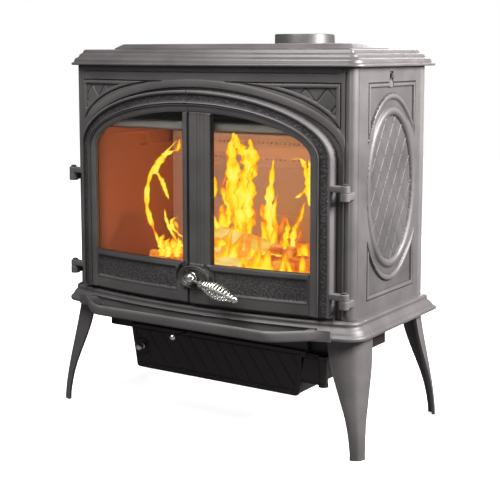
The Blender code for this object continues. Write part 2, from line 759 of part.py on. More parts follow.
def flue_outlet(iron):
    """The rear outlet: a round-backed box on the back panel, with the flue collar on top."""
    near = HALF_DEPTH + FIT_GAP
    half = OUTLET_HALF_WIDTH
    roof = COLLAR_TOP - COLLAR_HEIGHT

    def shell(name, width, front, low, high, material=None):
        arc = [math.pi * i / 20 for i in range(21)]
        outline = [(width * math.cos(a), COLLAR_Y + width * math.sin(a)) for a in arc]
        outline += [(-width, front), (width, front)]
        return prism_z(name, outline, low, high, material)

    outlet = shell("flue_outlet", half, near, OUTLET_BOTTOM, roof, iron)
    ridge = HALF_DEPTH + TOP_BACK_OVERHANG + 2 * FIT_GAP
    cut(outlet, box("outlet_relief", (-1, 0, TOP_BOTTOM - 2 * FIT_GAP), (1, ridge, 1)))
    wall = COLLAR_WALL
    start = (0, COLLAR_Y, roof - wall)
    length = COLLAR_HEIGHT + wall
    join(outlet, turned("collar", start, (0, 0, 1), [(0, COLLAR_RADIUS), (length, COLLAR_RADIUS)], 32))
    mouth = outlet_mouth()
    low = OUTLET_BOTTOM + wall
    room = shell("outlet_room", half - wall, ridge + wall, low, roof - wall)
    cut(outlet, room)
    cut(outlet, box("outlet_mouth", (-mouth[0], 0, mouth[1]), (mouth[0], ridge + 2 * wall, mouth[2])))
    inside = COLLAR_RADIUS - wall
    bore = [(0, inside), (length + 0.05, inside)]
    cut(outlet, turned("collar_bore", (0, COLLAR_Y, roof - 2 * wall), (0, 0, 1), bore, 32))
    outlet.data.shade_smooth()
    outlet.data.set_sharp_from_angle(angle=math.radians(40))
    return outlet


def door(side, iron):
    """One door casting: moulded border, glass opening, sunk lower panel and two hinge lugs."""
    name = "right_door" if side > 0 else "left_door"
    start = DOOR_GAP / 2
    stile = RIGHT_STILE if side > 0 else LEFT_STILE
    edge = (side * start, side * (DOOR_HALF_WIDTH + 0.01))
    casting = bowed_slab(name, min(edge), max(edge), BODY_BOTTOM, BODY_TOP, DOOR_BACK, DOOR_BEAD, iron)
    outline = half_outline(side, 0.0, start / 2, DOOR_BOTTOM)
    keep(casting, prism_y(name + "_outline", outline, -THROUGH, 0.0))
    low = DOOR_BOTTOM - 0.01
    band = half_band(side, BEAD_WIDTH, BEAD_WIDTH + BAND_WIDTH, 0.0, low)
    cut(casting, carved_band(name + "_band", band, DOOR_BAND))
    inner = BAND_WIDTH + 2 * BEAD_WIDTH
    field_edge = stile if side > 0 else -DOOR_GAP
    field = half_outline(side, inner, field_edge, low)
    cut(casting, carved_band(name + "_field", field, DOOR_FIELD))
    if side > 0:
        crown = arch_z(0.0, inner)
        face = [(-0.01, low), (stile + 0.0001, low), (stile + 0.0001, arch_z(stile, inner)), (-0.01, crown)]
        cut(casting, carved_band(name + "_stile", face, DOOR_FIELD + RIGHT_STILE_RISE))
    glass = half_outline(side, GLASS_INSET, stile, GLASS_SILL)
    cut(casting, prism_y(name + "_glass_opening", glass, -THROUGH, 0.0))
    seat = half_outline(side, GLASS_INSET - GLASS_LAP, stile - GLASS_LAP, GLASS_SILL - GLASS_LAP)
    rebate = bowed_slab(
        name + "_rebate", -HALF_WIDTH, HALF_WIDTH, BODY_BOTTOM, BODY_TOP,
        DOOR_BACK - 0.01, DOOR_BACK + GLASS_SEAT,
    )
    cut(casting, keep(rebate, prism_y(name + "_rebate_reach", seat, -THROUGH, 0.0)))
    panel_near = HANDLE_X + PLATE_HALF_WIDTH + 0.006 if side > 0 else PLATE_HALF_WIDTH - HANDLE_X + 0.012
    panel_far = DOOR_HALF_WIDTH - PANEL_SIDE
    panel = [
        (side * panel_near, PANEL_BOTTOM), (side * panel_far, PANEL_BOTTOM),
        (side * panel_far, PANEL_TOP), (side * panel_near, PANEL_TOP),
    ]
    cut(casting, carved_band(name + "_panel", panel, DOOR_FIELD - PANEL_DEPTH))
    for top in LUG_TOPS:
        low = top + FIT_GAP
        hub = turned(
            f"{name}_lug_{round(top * 1000)}", (side * HINGE_X, HINGE_Y, low), (0, 0, 1),
            [(0, LUG_RADIUS), (LUG_HEIGHT, LUG_RADIUS)], 16,
        )
        span = sorted((side * (DOOR_HALF_WIDTH - 0.004), side * HINGE_X))
        arm = box(
            f"{name}_arm_{round(top * 1000)}", (span[0], HINGE_Y - LUG_WEB / 2, low + OVERLAP),
            (span[1], HINGE_Y + LUG_WEB / 2 - 2 * OVERLAP, low + LUG_HEIGHT - OVERLAP),
        )
        bore = turned(
            f"{name}_bore_{round(top * 1000)}", (side * HINGE_X, HINGE_Y, low - 0.01), (0, 0, 1),
            [(0, PIN_RADIUS + FIT_GAP), (0.04, PIN_RADIUS + FIT_GAP)], 16,
        )
        join(casting, arm)
        join(casting, hub)
        cut(casting, bore)
    if side > 0:
        start = (HANDLE_X, -0.15, HANDLE_Z)
        bore = [(0, SPINDLE_RADIUS + FIT_GAP), (0.15, SPINDLE_RADIUS + FIT_GAP)]
        cut(casting, turned(name + "_spindle_bore", start, (0, -1, 0), bore, 16))
    return casting


def door_glass(side, glass):
    """The bowed ceramic-glass pane in its seat behind the door."""
    word = "right" if side > 0 else "left"
    stile = RIGHT_STILE if side > 0 else LEFT_STILE
    lap = GLASS_LAP - FIT_GAP
    outline = half_outline(side, GLASS_INSET - lap, stile - lap, GLASS_SILL - lap)
    far = DOOR_BACK + GLASS_SEAT - FIT_GAP
    slab = bowed_slab(
        f"{word}_glass", -HALF_WIDTH, HALF_WIDTH, BODY_BOTTOM, BODY_TOP, far - GLASS_THICKNESS, far, glass,
    )
    return keep(slab, prism_y(f"{word}_glass_outline", outline, -THROUGH, 0.0))


def glass_retainer(side, steel):
    """The steel frame behind the door that holds the pane."""
    word = "right" if side > 0 else "left"
    stile = RIGHT_STILE if side > 0 else LEFT_STILE
    lap = RETAINER_LAP if side > 0 else LEFT_STILE - 2 * DOOR_GAP
    far = DOOR_BACK - FIT_GAP
    plate = bowed_slab(
        f"{word}_glass_retainer", -HALF_WIDTH, HALF_WIDTH, BODY_BOTTOM, BODY_TOP,
        far - RETAINER_THICKNESS, far, steel,
    )
    lift = GLASS_SILL - RETAINER_LAP
    outside = half_outline(side, GLASS_INSET - RETAINER_LAP, stile - lap, lift)
    keep(plate, prism_y(f"{word}_retainer_outside", outside, -THROUGH, 0.0))
    inside = half_outline(side, GLASS_INSET, stile, GLASS_SILL)
    return cut(plate, prism_y(f"{word}_retainer_inside", inside, -THROUGH, 0.0))


def door_rope(side, rope):
    """The sealing rope pressed between the door's back and the front casting."""
    word = "right" if side > 0 else "left"
    start = 2 * DOOR_GAP
    inner = ROPE_INSET + ROPE_WIDTH
    outside = half_outline(side, ROPE_INSET, start, DOOR_BOTTOM + ROPE_INSET)[1:]
    inside = half_outline(side, inner, start, DOOR_BOTTOM + inner)[1:]
    foot = [(side * start, DOOR_BOTTOM + inner), (side * start, DOOR_BOTTOM + ROPE_INSET)]
    outline = outside + inside[::-1] + foot
    slab = bowed_slab(
        f"{word}_door_rope", -HALF_WIDTH, HALF_WIDTH, BODY_BOTTOM, BODY_TOP,
        FIT_GAP, DOOR_BACK - FIT_GAP, rope,
    )
    return keep(slab, prism_y(f"{word}_rope_outline", outline, -THROUGH, 0.0))


def hinge_pins(steel):
    """Four hinge pins, each dropped through a door lug into the lug below it."""
    for side, word in ((1, "right"), (-1, "left")):
        for top, place in zip(LUG_TOPS, ("lower", "upper")):
            lift = top + FIT_GAP + LUG_HEIGHT + FIT_GAP
            profile = [
                (0, 0.7 * PIN_RADIUS),
                (0.002, PIN_RADIUS),
                (lift - top + BODY_LUG_HEIGHT, PIN_RADIUS),
                (lift - top + BODY_LUG_HEIGHT, PIN_HEAD_RADIUS),
                (lift - top + BODY_LUG_HEIGHT + PIN_HEAD_HEIGHT, 0.8 * PIN_HEAD_RADIUS),
            ]
            foot = (side * HINGE_X, HINGE_Y, top - BODY_LUG_HEIGHT)
            turned(f"hinge_pin_{word}_{place}", foot, (0, 0, 1), profile, 16, steel)


def escutcheon(side, iron):
    """Half of the oval plate round the handle: one half on each door, with a sunk ring."""
    name = "handle_plate_right" if side > 0 else "handle_plate_left"
    base = DOOR_FIELD + (RIGHT_STILE_RISE if side > 0 else 0.0) + FIT_GAP
    face = DOOR_FIELD + RIGHT_STILE_RISE + FIT_GAP + PLATE_THICKNESS
    centre = (HANDLE_X, HANDLE_Z)
    start = side * DOOR_GAP / 2
    span = sorted((start, HANDLE_X + side * 1.5 * PLATE_HALF_WIDTH))
    low, high = HANDLE_Z - PLATE_HALF_WIDTH, HANDLE_Z + PLATE_HALF_WIDTH
    slab = bowed_slab(name, *span, low, high, base, face, iron)
    oval = ellipse(centre, PLATE_HALF_WIDTH, PLATE_HALF_HEIGHT, 32)
    keep(slab, prism_y(name + "_oval", oval, -THROUGH, 0.0))
    outer = ellipse(centre, PLATE_HALF_WIDTH - PLATE_RIM, PLATE_HALF_HEIGHT - PLATE_RIM, 32)
    inner = ellipse(centre, PLATE_HALF_WIDTH - 2 * PLATE_RIM, PLATE_HALF_HEIGHT - 2 * PLATE_RIM, 32)
    ring = carved_band(name + "_ring", outer, face - 0.0015)
    cut(ring, prism_y(name + "_island", inner, -THROUGH, 0.0))
    cut(slab, ring)
    if side > 0:
        bore = [(0, SPINDLE_RADIUS + FIT_GAP), (0.15, SPINDLE_RADIUS + FIT_GAP)]
        cut(slab, turned(name + "_bore", (HANDLE_X, -0.15, HANDLE_Z), (0, -1, 0), bore, 16))
    return slab


def handle_face():
    """Y of the handle plate's outer face at the spindle."""
    return front_y(HANDLE_X, DOOR_FIELD + RIGHT_STILE_RISE + FIT_GAP + PLATE_THICKNESS)


def rod_direction():
    """Unit vector along the handle rod: outwards to the right, a little down and forward."""
    flat = math.cos(ROD_LEAN)
    return Vector((flat * math.cos(ROD_DROP), -math.sin(ROD_LEAN), -flat * math.sin(ROD_DROP)))


def rod_start():
    """Where the rod's axis crosses the spindle's axis."""
    return Vector((HANDLE_X, handle_face() - FIT_GAP - 0.6 * HUB_LENGTH, HANDLE_Z))


def handle_pieces(chrome, steel):
    """Spindle with its domed hub, the rod through the hub, end knob and latch cam."""
    face = handle_face()
    back = front_y(HANDLE_X, DOOR_BACK) + FIT_GAP
    shaft = back + CAM_THICKNESS + 0.006 - (face - FIT_GAP)
    profile = [(0, SPINDLE_RADIUS), (shaft, SPINDLE_RADIUS), (shaft, HUB_RADIUS)]
    for step in range(1, 6):
        angle = math.pi / 2 * step / 6
        dome = HUB_LENGTH * (0.55 + 0.45 * math.sin(angle))
        profile.append((shaft + dome, HUB_RADIUS * math.cos(angle) + 0.001))
    start = (HANDLE_X, back + CAM_THICKNESS + 0.006, HANDLE_Z)
    spindle = turned("handle_spindle", start, (0, -1, 0), profile, 20, chrome)
    direction = rod_direction()
    origin = rod_start()
    clear = [(-ROD_TAIL - 0.01, ROD_RADIUS + FIT_GAP), (0.04, ROD_RADIUS + FIT_GAP)]
    cut(spindle, turned("rod_hole", origin, direction, clear, 12))
    place = ROD_COLLAR_PLACE
    rod_profile = [
        (-ROD_TAIL, 0.7 * ROD_RADIUS),
        (-ROD_TAIL + 0.001, ROD_RADIUS),
        (place - ROD_COLLAR_LENGTH, ROD_RADIUS),
        (place - ROD_COLLAR_LENGTH, ROD_COLLAR_RADIUS),
        (place, ROD_COLLAR_RADIUS),
        (place, ROD_RADIUS),
        (ROD_LENGTH - END_KNOB_LENGTH / 2, ROD_RADIUS),
    ]
    rod = turned("handle_rod", origin, direction, rod_profile, 12, chrome)
    knob_start = origin + direction * (ROD_LENGTH - END_KNOB_LENGTH)
    knob_profile = [(0, 0.9 * END_KNOB_RADIUS)]
    for step in range(1, 7):
        share = step / 6
        angle = math.pi * (END_KNOB_NECK + (END_KNOB_POLE - END_KNOB_NECK) * share)
        rise = (1 - math.cos(math.pi * share)) / 2
        height = END_KNOB_LENGTH * (END_KNOB_NECK + (1 - END_KNOB_NECK) * rise)
        knob_profile.append((height, END_KNOB_RADIUS * math.sin(angle)))
    knob = turned("handle_end_knob", knob_start, direction, knob_profile, 16, chrome)
    deep = [(-0.01, ROD_RADIUS + FIT_GAP), (END_KNOB_LENGTH / 2 + FIT_GAP, ROD_RADIUS + FIT_GAP)]
    cut(knob, turned("knob_bore", knob_start, direction, deep, 12))
    near = back + 0.001
    top = HANDLE_Z + CAM_LENGTH
    cam = box(
        "latch_cam", (HANDLE_X - CAM_WIDTH / 2, near, HANDLE_Z - CAM_WIDTH / 2),
        (HANDLE_X + CAM_WIDTH / 2, near + CAM_THICKNESS, top), steel,
    )
    bore = [(0, SPINDLE_RADIUS + FIT_GAP), (0.08, SPINDLE_RADIUS + FIT_GAP)]
    cut(cam, turned("cam_bore", (HANDLE_X, near + 0.04, HANDLE_Z), (0, -1, 0), bore, 16))
    return [spindle, rod, knob, cam]


def coil_path():
    """Points along the coil handle's wire, as (distance along the rod, radius, angle)."""
    first = ROD_COLLAR_PLACE + FIT_GAP
    last = ROD_LENGTH - END_KNOB_LENGTH - FIT_GAP
    straight = COIL_WIRE
    bend_steps = 5
    bend_length = math.pi / 2 * COIL_BEND
    step = bend_length / bend_steps
    lead = [(first, 0.0), (first + straight, 0.0)]
    along, angle = lead[-1]
    for i in range(bend_steps):
        turn = math.pi / 2 * (1 - (i + 0.5) / bend_steps)
        along += step * math.sin(turn)
        angle += step * math.cos(turn) / COIL_END_RADIUS
        lead.append((along, angle))
    start_along, start_angle = lead[-1]
    end_along = first + last - start_along
    count = COIL_TURNS * POINTS_PER_TURN
    total = 2 * math.pi * COIL_TURNS
    middle = [
        (start_along + (end_along - start_along) * i / count, start_angle + total * i / count)
        for i in range(1, count)
    ]
    end_angle = start_angle + total
    tail = [(first + last - a, end_angle + start_angle - b) for a, b in reversed(lead)]
    path = []
    for distance, angle in lead + middle + tail:
        share = (distance - first) / (last - first)
        radius = COIL_END_RADIUS + COIL_SWELL * math.sin(math.pi * share) ** 1.3
        path.append((distance, radius, angle))
    return path


def coil_handle(chrome):
    """The wound-wire grip round the rod: one tube from the rod's collar to the end knob."""
    direction = rod_direction()
    origin = rod_start()
    across = direction.orthogonal().normalized()
    third = direction.cross(across)
    points = []
    for distance, radius, angle in coil_path():
        spoke = across * math.cos(angle) + third * math.sin(angle)
        points.append(origin + direction * distance + spoke * radius)
    curve = bpy.data.curves.new("coil_handle", "CURVE")
    curve.dimensions = "3D"
    curve.bevel_depth = COIL_WIRE / 2
    curve.bevel_resolution = 1
    curve.use_fill_caps = True
    curve.materials.append(chrome)
    spline = curve.splines.new("POLY")
    spline.points.add(len(points) - 1)
    pivot = Vector((HANDLE_X, handle_face(), HANDLE_Z))
    for spot, point in zip(spline.points, points):
        spot.co = (*(point - pivot), 1.0)
    thing = bpy.data.objects.new("coil_handle", curve)
    bpy.context.scene.collection.objects.link(thing)
    least = 1.0
    for i, here in enumerate(points):
        travelled = 0.0
        for j in range(i + 1, len(points)):
            travelled += (points[j] - points[j - 1]).length
            if travelled > 4 * COIL_WIRE:
                least = min(least, (points[j] - here).length - COIL_WIRE)
    print(f"coil handle: least gap to itself {least * 1000:.2f} mm")
    return thing


def lining(stone):
    """Side and back lining plates that stand on the firebox floor, the sides bevelled in front."""
    back = LINING_BACK + LINING_THICKNESS
    for side, word in ((1, "right"), (-1, "left")):
        inner = side * LINING_HALF_WIDTH
        outer = side * (LINING_HALF_WIDTH + LINING_THICKNESS)
        outline = [(outer, LINING_FRONT), (outer, back), (inner, back), (inner, LINING_FRONT + LINING_BEVEL)]
        prism_z(f"lining_{word}", outline, BODY_BOTTOM, LINING_TOP, stone)
    half = LINING_HALF_WIDTH - FIT_GAP
    box("lining_back", (-half, LINING_BACK, BODY_BOTTOM), (half, back, LINING_TOP), stone)


def air_manifold(steel):
    """The air channel across the back lining, with a row of outlet holes."""
    half = LINING_HALF_WIDTH - 2 * FIT_GAP
    far = LINING_BACK - FIT_GAP
    near = far - MANIFOLD_DEPTH
    channel = box(
        "air_manifold", (-half, near, MANIFOLD_BOTTOM),
        (half, far, MANIFOLD_BOTTOM + MANIFOLD_HEIGHT), steel,
    )
    middle = MANIFOLD_BOTTOM + MANIFOLD_HEIGHT / 2
    count = int(half / HOLE_PITCH)
    teeth = []
    faces = []
    for i in range(-count, count + 1):
        x = i * HOLE_PITCH
        reach = HOLE_SIZE / 2
        first = len(teeth)
        for y in (near - 0.01, near + MANIFOLD_DEPTH / 2):
            teeth += [(x - reach, y, middle - reach), (x + reach, y, middle - reach)]
            teeth += [(x + reach, y, middle + reach), (x - reach, y, middle + reach)]
        faces += [tuple(first + k for k in quad) for quad in (
            (0, 1, 2, 3), (7, 6, 5, 4), (0, 4, 5, 1), (1, 5, 6, 2), (2, 6, 7, 3), (3, 7, 4, 0),
        )]
    return cut(channel, mesh_object("manifold_holes", teeth, faces))


def firebox_fittings(steel, iron):
    """Baffle on the lining, air-wash bar behind the arch, grate over the ash drop, log bar."""
    half = LINING_HALF_WIDTH + LINING_THICKNESS
    low = LINING_TOP + FIT_GAP
    back = LINING_BACK + LINING_THICKNESS
    box("baffle", (-half, BAFFLE_FRONT, low), (half, back, low + BAFFLE_THICKNESS), steel)
    far = -WALL - FIT_GAP
    bowed_slab(
        "air_wash_bar", -BAR_HALF_LENGTH, BAR_HALF_LENGTH, BAR_BOTTOM, BAR_BOTTOM + BAR_HEIGHT,
        far - BAR_DEPTH, far, steel,
    )
    x, y = GRATE_LENGTH / 2, GRATE_DEPTH / 2
    grate = box("grate", (-x, -y, BODY_BOTTOM), (x, y, BODY_BOTTOM + GRATE_THICKNESS), iron)
    pitch = GRATE_LENGTH / GRATE_BARS
    slots = []
    for i in range(GRATE_BARS):
        middle = -x + pitch * (i + 0.5)
        reach = GRATE_SLOT / 2
        name = f"grate_slot_{i}"
        slots.append(box(name, (middle - reach, -y + GRATE_RIM, 0), (middle + reach, y - GRATE_RIM, 1)))
    for slot in slots:
        cut(grate, slot)
    box(
        "log_bar", (-LOG_BAR_HALF_LENGTH, LOG_BAR_Y, BODY_BOTTOM),
        (LOG_BAR_HALF_LENGTH, LOG_BAR_Y + LOG_BAR_THICKNESS, BODY_BOTTOM + LOG_BAR_HEIGHT), iron,
    )


def damper(chrome, steel):
    """The damper spindle across the smoke chamber, and the flap that hangs from it."""
    left = -HALF_WIDTH + WALL + FIT_GAP
    shoulder = HALF_WIDTH - WALL / 2 + FIT_GAP
    length = shoulder - left
    spindle = turned(
        "damper_spindle", (left, DAMPER_Y, DAMPER_Z), (1, 0, 0),
        [(0, DAMPER_RADIUS), (length, DAMPER_RADIUS)], 16, chrome,
    )
    half = DAMPER_SQUARE / 2
    square = box(
        "damper_square", (shoulder - 0.0001, DAMPER_Y - half, DAMPER_Z - half),
        (HALF_WIDTH + DAMPER_STICKOUT, DAMPER_Y + half, DAMPER_Z + half),
    )
    join(spindle, square)
    reach = FLAP_HALF_LENGTH
    flap = box(
        "damper_flap", (-reach, DAMPER_Y - FLAP_THICKNESS / 2, DAMPER_Z - FLAP_DROP),
        (reach, DAMPER_Y + FLAP_THICKNESS / 2, DAMPER_Z), steel,
    )
    sleeve = [(0, DAMPER_RADIUS + FLAP_THICKNESS), (2 * reach - 0.002, DAMPER_RADIUS + FLAP_THICKNESS)]
    join(flap, turned("flap_sleeve", (-reach + 0.001, DAMPER_Y, DAMPER_Z), (1, 0, 0), sleeve, 16))
    bore = [(0, DAMPER_RADIUS + FIT_GAP), (1, DAMPER_RADIUS + FIT_GAP)]
    cut(flap, turned("flap_bore", (-0.5, DAMPER_Y, DAMPER_Z), (1, 0, 0), bore, 16))
    return [spindle, flap]


def lip_front(x):
    """Y of the ash lip's front edge: straight in the middle, curving back to the base corner."""
    foremost = -HALF_DEPTH - FRONT_BOW - ASH_LIP_REACH
    end = front_y(ASH_LIP_END, BASE_LIP + 0.002)
    share = min(1.0, max(0.0, (abs(x) - ASH_LIP_FLAT) / (ASH_LIP_END - ASH_LIP_FLAT)))
    return foremost + (end - foremost) * share * share * (3 - 2 * share)


def ash_lip(iron):
    """The ash-catching shelf in front of the base: a shallow tray with an S-curved front rim."""
    notch = ASH_NOTCH - FIT_GAP
    steps = 26
    ends = ASH_LIP_END
    outer = [(-ends + 2 * ends * i / steps, 0.0) for i in range(steps + 1)]
    outer = [(x, lip_front(x)) for x, _ in outer]
    back = [notch - 2 * notch * i / 16 for i in range(17)]
    inner = [(x, front_y(x, ASH_BACK_OFFSET + FIT_GAP)) for x in back]
    shoulder = [
        (ends, front_y(ends, BASE_LIP + FIT_GAP)), (notch, front_y(notch, BASE_LIP + FIT_GAP)),
    ]
    other = [(-x, y) for x, y in reversed(shoulder)]
    lip = prism_z("ash_lip", outer + shoulder + inner + other, ASH_LIP_BOTTOM, ASH_LIP_TOP, iron)
    reach = notch - ASH_LIP_RIM
    rim = [(x, lip_front(x) + ASH_LIP_RIM) for x, _ in outer if abs(x) < reach]
    wall = [reach - 2 * reach * i / 16 for i in range(17)]
    tray = rim + [(x, front_y(x, ASH_BACK_OFFSET + ASH_LIP_RIM)) for x in wall]
    cut(lip, prism_z("ash_lip_tray", tray, ASH_LIP_BOTTOM + ASH_LIP_FLOOR, 1))
    return lip


def ash_half(z):
    """Half width of the ash box's outside at a height."""
    share = min(1.0, (z - ASH_BOX_BOTTOM) / (ASH_DOOR_TOP - ASH_BOX_BOTTOM))
    return ASH_BOX_BOTTOM_HALF + (ASH_BOX_TOP_HALF - ASH_BOX_BOTTOM_HALF) * share


def ash_outline(inset, top):
    """The ash box's section in (x, z), drawn in by an inset, with its bottom corners cut."""
    low = ASH_BOX_BOTTOM + inset
    side = [(ash_half(low) - inset - ASH_CORNER, low), (ash_half(low) - inset, low + ASH_CORNER)]
    side += [(ash_half(ASH_DOOR_TOP) - inset, ASH_DOOR_TOP), (ash_half(ASH_DOOR_TOP) - inset, top)]
    if top <= ASH_DOOR_TOP:
        side = side[:2] + [(ash_half(top) - inset, top)]
    return side + [(-x, z) for x, z in reversed(side)]


def shelter_top():
    """Height of the underside of the firebox floor."""
    return BASE_TOP - FLOOR_THICKNESS - FIT_GAP


def ash_box(steel):
    """The ash chamber under the floor: open on top, with a mouth and an air inlet in front."""
    top = shelter_top()
    wall = ASH_BOX_WALL
    chamber = prism_y("ash_box", ash_outline(0.0, top), ASH_BOX_FRONT, ASH_BOX_BACK, steel)
    room = prism_y("ash_room", ash_outline(wall, top + 0.02), ASH_BOX_FRONT + wall, ASH_BOX_BACK - wall)
    cut(chamber, room)
    mouth = ash_outline(ASH_MOUTH_INSET, ASH_DOOR_TOP - ASH_MOUTH_INSET)
    cut(chamber, prism_y("ash_mouth", mouth, ASH_BOX_FRONT - 0.02, ASH_BOX_FRONT + 2 * wall))
    bore = [(0, LEVER_RADIUS + FIT_GAP), (0.05, LEVER_RADIUS + FIT_GAP)]
    start = (LEVER_X, ASH_BOX_FRONT - 0.02, LEVER_Z)
    cut(chamber, turned("lever_bore", start, (0, 1, 0), bore, 12))
    for side, word in ((1, "right"), (-1, "left")):
        middle = LEVER_X + side * VALVE_WIDTH / 4
        slot = box(
            f"air_slot_{word}",
            (middle - VALVE_SLOT / 2, ASH_BOX_FRONT - 0.02, LEVER_Z - VALVE_HEIGHT / 4),
            (middle + VALVE_SLOT / 2, ASH_BOX_FRONT + 2 * wall, LEVER_Z + VALVE_HEIGHT / 4),
        )
        cut(chamber, slot)
    x, y = ash_hinge()
    lows = (ASH_LUG_TOP - ASH_LUG_HEIGHT, ASH_LUG_TOP - 2 * ASH_LUG_HEIGHT - ASH_KNUCKLE - 2 * FIT_GAP)
    for low, word in zip(lows, ("upper", "lower")):
        arm = box(
            f"ash_arm_{word}", (ash_half(low) - wall / 2, ASH_BOX_FRONT, low + OVERLAP),
            (x, ASH_BOX_FRONT + wall, low + ASH_LUG_HEIGHT - OVERLAP),
        )
        profile = [(0, ASH_LUG_RADIUS), (ASH_LUG_HEIGHT, ASH_LUG_RADIUS)]
        join(chamber, arm)
        join(chamber, turned(f"ash_lug_{word}", (x, y, low), (0, 0, 1), profile, 16))
    profile = [(0, ASH_PIN_RADIUS + FIT_GAP), (BODY_BOTTOM, ASH_PIN_RADIUS + FIT_GAP)]
    cut(chamber, turned("ash_pin_bore", (x, y, 0), (0, 0, 1), profile, 12))
    return chamber


def ash_hinge():
    """X and Y of the ash door's hinge axis."""
    return ASH_BOX_TOP_HALF + ASH_HINGE_OUT, ASH_BOX_FRONT - FIT_GAP - ASH_DOOR_THICKNESS / 2


def ash_door(iron):
    """The ash door: a plate with a raised border, and a knuckle on an arm at its right side."""
    far = ASH_BOX_FRONT - FIT_GAP
    face = far - ASH_DOOR_THICKNESS
    plate = prism_y("ash_door", ash_outline(0.0, ASH_DOOR_TOP), face, far, iron)
    inset = ASH_BORDER + 2 * ASH_BORDER_RISE
    field = ash_outline(inset, ASH_DOOR_TOP - inset)
    sunk = prism_y("ash_door_field", field, face - ASH_DOOR_THICKNESS, face + ASH_BORDER_RISE)
    cut(plate, sunk)
    x, y = ash_hinge()
    low = ASH_LUG_TOP - ASH_LUG_HEIGHT - FIT_GAP - ASH_KNUCKLE
    arm = box(
        "ash_knuckle_arm", (ash_half(low) - 2 * ASH_DOOR_THICKNESS, face + OVERLAP, low + 2 * OVERLAP),
        (x, far - OVERLAP, low + ASH_KNUCKLE - 2 * OVERLAP),
    )
    join(plate, arm)
    profile = [(0, 0.9 * ASH_LUG_RADIUS), (ASH_KNUCKLE, 0.9 * ASH_LUG_RADIUS)]
    join(plate, turned("ash_knuckle", (x, y, low), (0, 0, 1), profile, 16))
    bore = [(0, ASH_PIN_RADIUS + FIT_GAP), (BODY_BOTTOM, ASH_PIN_RADIUS + FIT_GAP)]
    cut(plate, turned("ash_knuckle_bore", (x, y, 0), (0, 0, 1), bore, 12))
    start = (ASH_KNOB_X, face - ASH_DOOR_THICKNESS, ASH_KNOB_Z)
    bore_radius = ASH_KNOB_RADIUS / 3 + FIT_GAP
    hole = [(0, bore_radius), (4 * ASH_DOOR_THICKNESS, bore_radius)]
    cut(plate, turned("ash_knob_bore", start, (0, 1, 0), hole, 12))
    return plate


def ash_door_pin(steel):
    """The pin through the ash door's lugs and knuckle, with a head on top."""
    x, y = ash_hinge()
    low = ASH_LUG_TOP - 2 * ASH_LUG_HEIGHT - ASH_KNUCKLE - 2 * FIT_GAP
    length = ASH_LUG_TOP - low + FIT_GAP
    head = 1.7 * ASH_PIN_RADIUS
    profile = [(0, ASH_PIN_RADIUS), (length, ASH_PIN_RADIUS), (length, head), (length + 0.002, 0.8 * head)]
    return turned("ash_door_pin", (x, y, low), (0, 0, 1), profile, 12, steel)


def ash_knob(chrome, steel):
    """The ash door's round knob with its shaft, and the latch tongue that hangs behind the door."""
    far = ASH_BOX_FRONT - FIT_GAP
    face = far - ASH_DOOR_THICKNESS + ASH_BORDER_RISE - FIT_GAP
    shaft = ASH_KNOB_RADIUS / 3
    behind = ASH_BOX_FRONT + ASH_BOX_WALL + 2 * FIT_GAP
    tip = behind + TONGUE_THICKNESS + FIT_GAP
    length = tip - face
    profile = [(0, shaft), (length, shaft), (length, 0.8 * ASH_KNOB_RADIUS)]
    profile.append((length + 0.3 * ASH_KNOB_RADIUS, 0.6 * ASH_KNOB_RADIUS))
    for step in range(7):
        angle = math.pi * (0.18 + 0.76 * step / 6)
        height = length + ASH_KNOB_RADIUS * (1.25 - math.cos(angle))
        profile.append((height, ASH_KNOB_RADIUS * math.sin(angle)))
    knob = turned("ash_door_knob", (ASH_KNOB_X, tip, ASH_KNOB_Z), (0, -1, 0), profile, 16, chrome)
    half = 1.6 * shaft
    tongue = box(
        "ash_door_tongue", (ASH_KNOB_X - half, behind, ASH_KNOB_Z - TONGUE_LENGTH),
        (ASH_KNOB_X + half, behind + TONGUE_THICKNESS, ASH_KNOB_Z + half), steel,
    )
    bore = [(0, shaft + FIT_GAP), (0.03, shaft + FIT_GAP)]
    cut(tongue, turned("tongue_bore", (ASH_KNOB_X, far - 0.01, ASH_KNOB_Z), (0, 1, 0), bore, 12))
    return [knob, tongue]


def ash_pan(steel):
    """The loose pan that stands on the ash box's floor."""
    half = ASH_BOX_BOTTOM_HALF - ASH_CORNER - ASH_BOX_WALL
    near = ASH_BOX_FRONT + ASH_BOX_WALL + 2 * ASH_PAN_CLEARANCE
    far = ASH_BOX_BACK - ASH_BOX_WALL - ASH_PAN_CLEARANCE
    low = ASH_BOX_BOTTOM + ASH_BOX_WALL + FIT_GAP
    top = low + ASH_PAN_HEIGHT
    pan = box("ash_pan", (-half, near, low), (half, far, top), steel)
    wall = ASH_PAN_WALL
    inside = box(
        "ash_pan_room", (wall - half, near + wall, low + wall), (half - wall, far - wall, top + ASH_PAN_HEIGHT),
    )
    return cut(pan, inside)


def heat_shield(steel):
    """The shallow shield tray under the firebox floor, on both sides of the ash box."""
    top = shelter_top()
    half = SHIELD_HALF_WIDTH
    wall = SHIELD_WALL
    tray = box("heat_shield", (-half, SHIELD_FRONT, SHIELD_BOTTOM), (half, SHIELD_BACK, top), steel)
    room = box(
        "shield_room", (wall - half, SHIELD_FRONT + wall, SHIELD_BOTTOM + wall),
        (half - wall, SHIELD_BACK - wall, top + 0.1),
    )
    cut(tray, room)
    reach = ASH_BOX_TOP_HALF + 2 * FIT_GAP
    gate = box(
        "shield_gate", (-reach, SHIELD_FRONT - 0.1, 0), (reach, ASH_BOX_BACK + FIT_GAP, 1),
    )
    return cut(tray, gate)


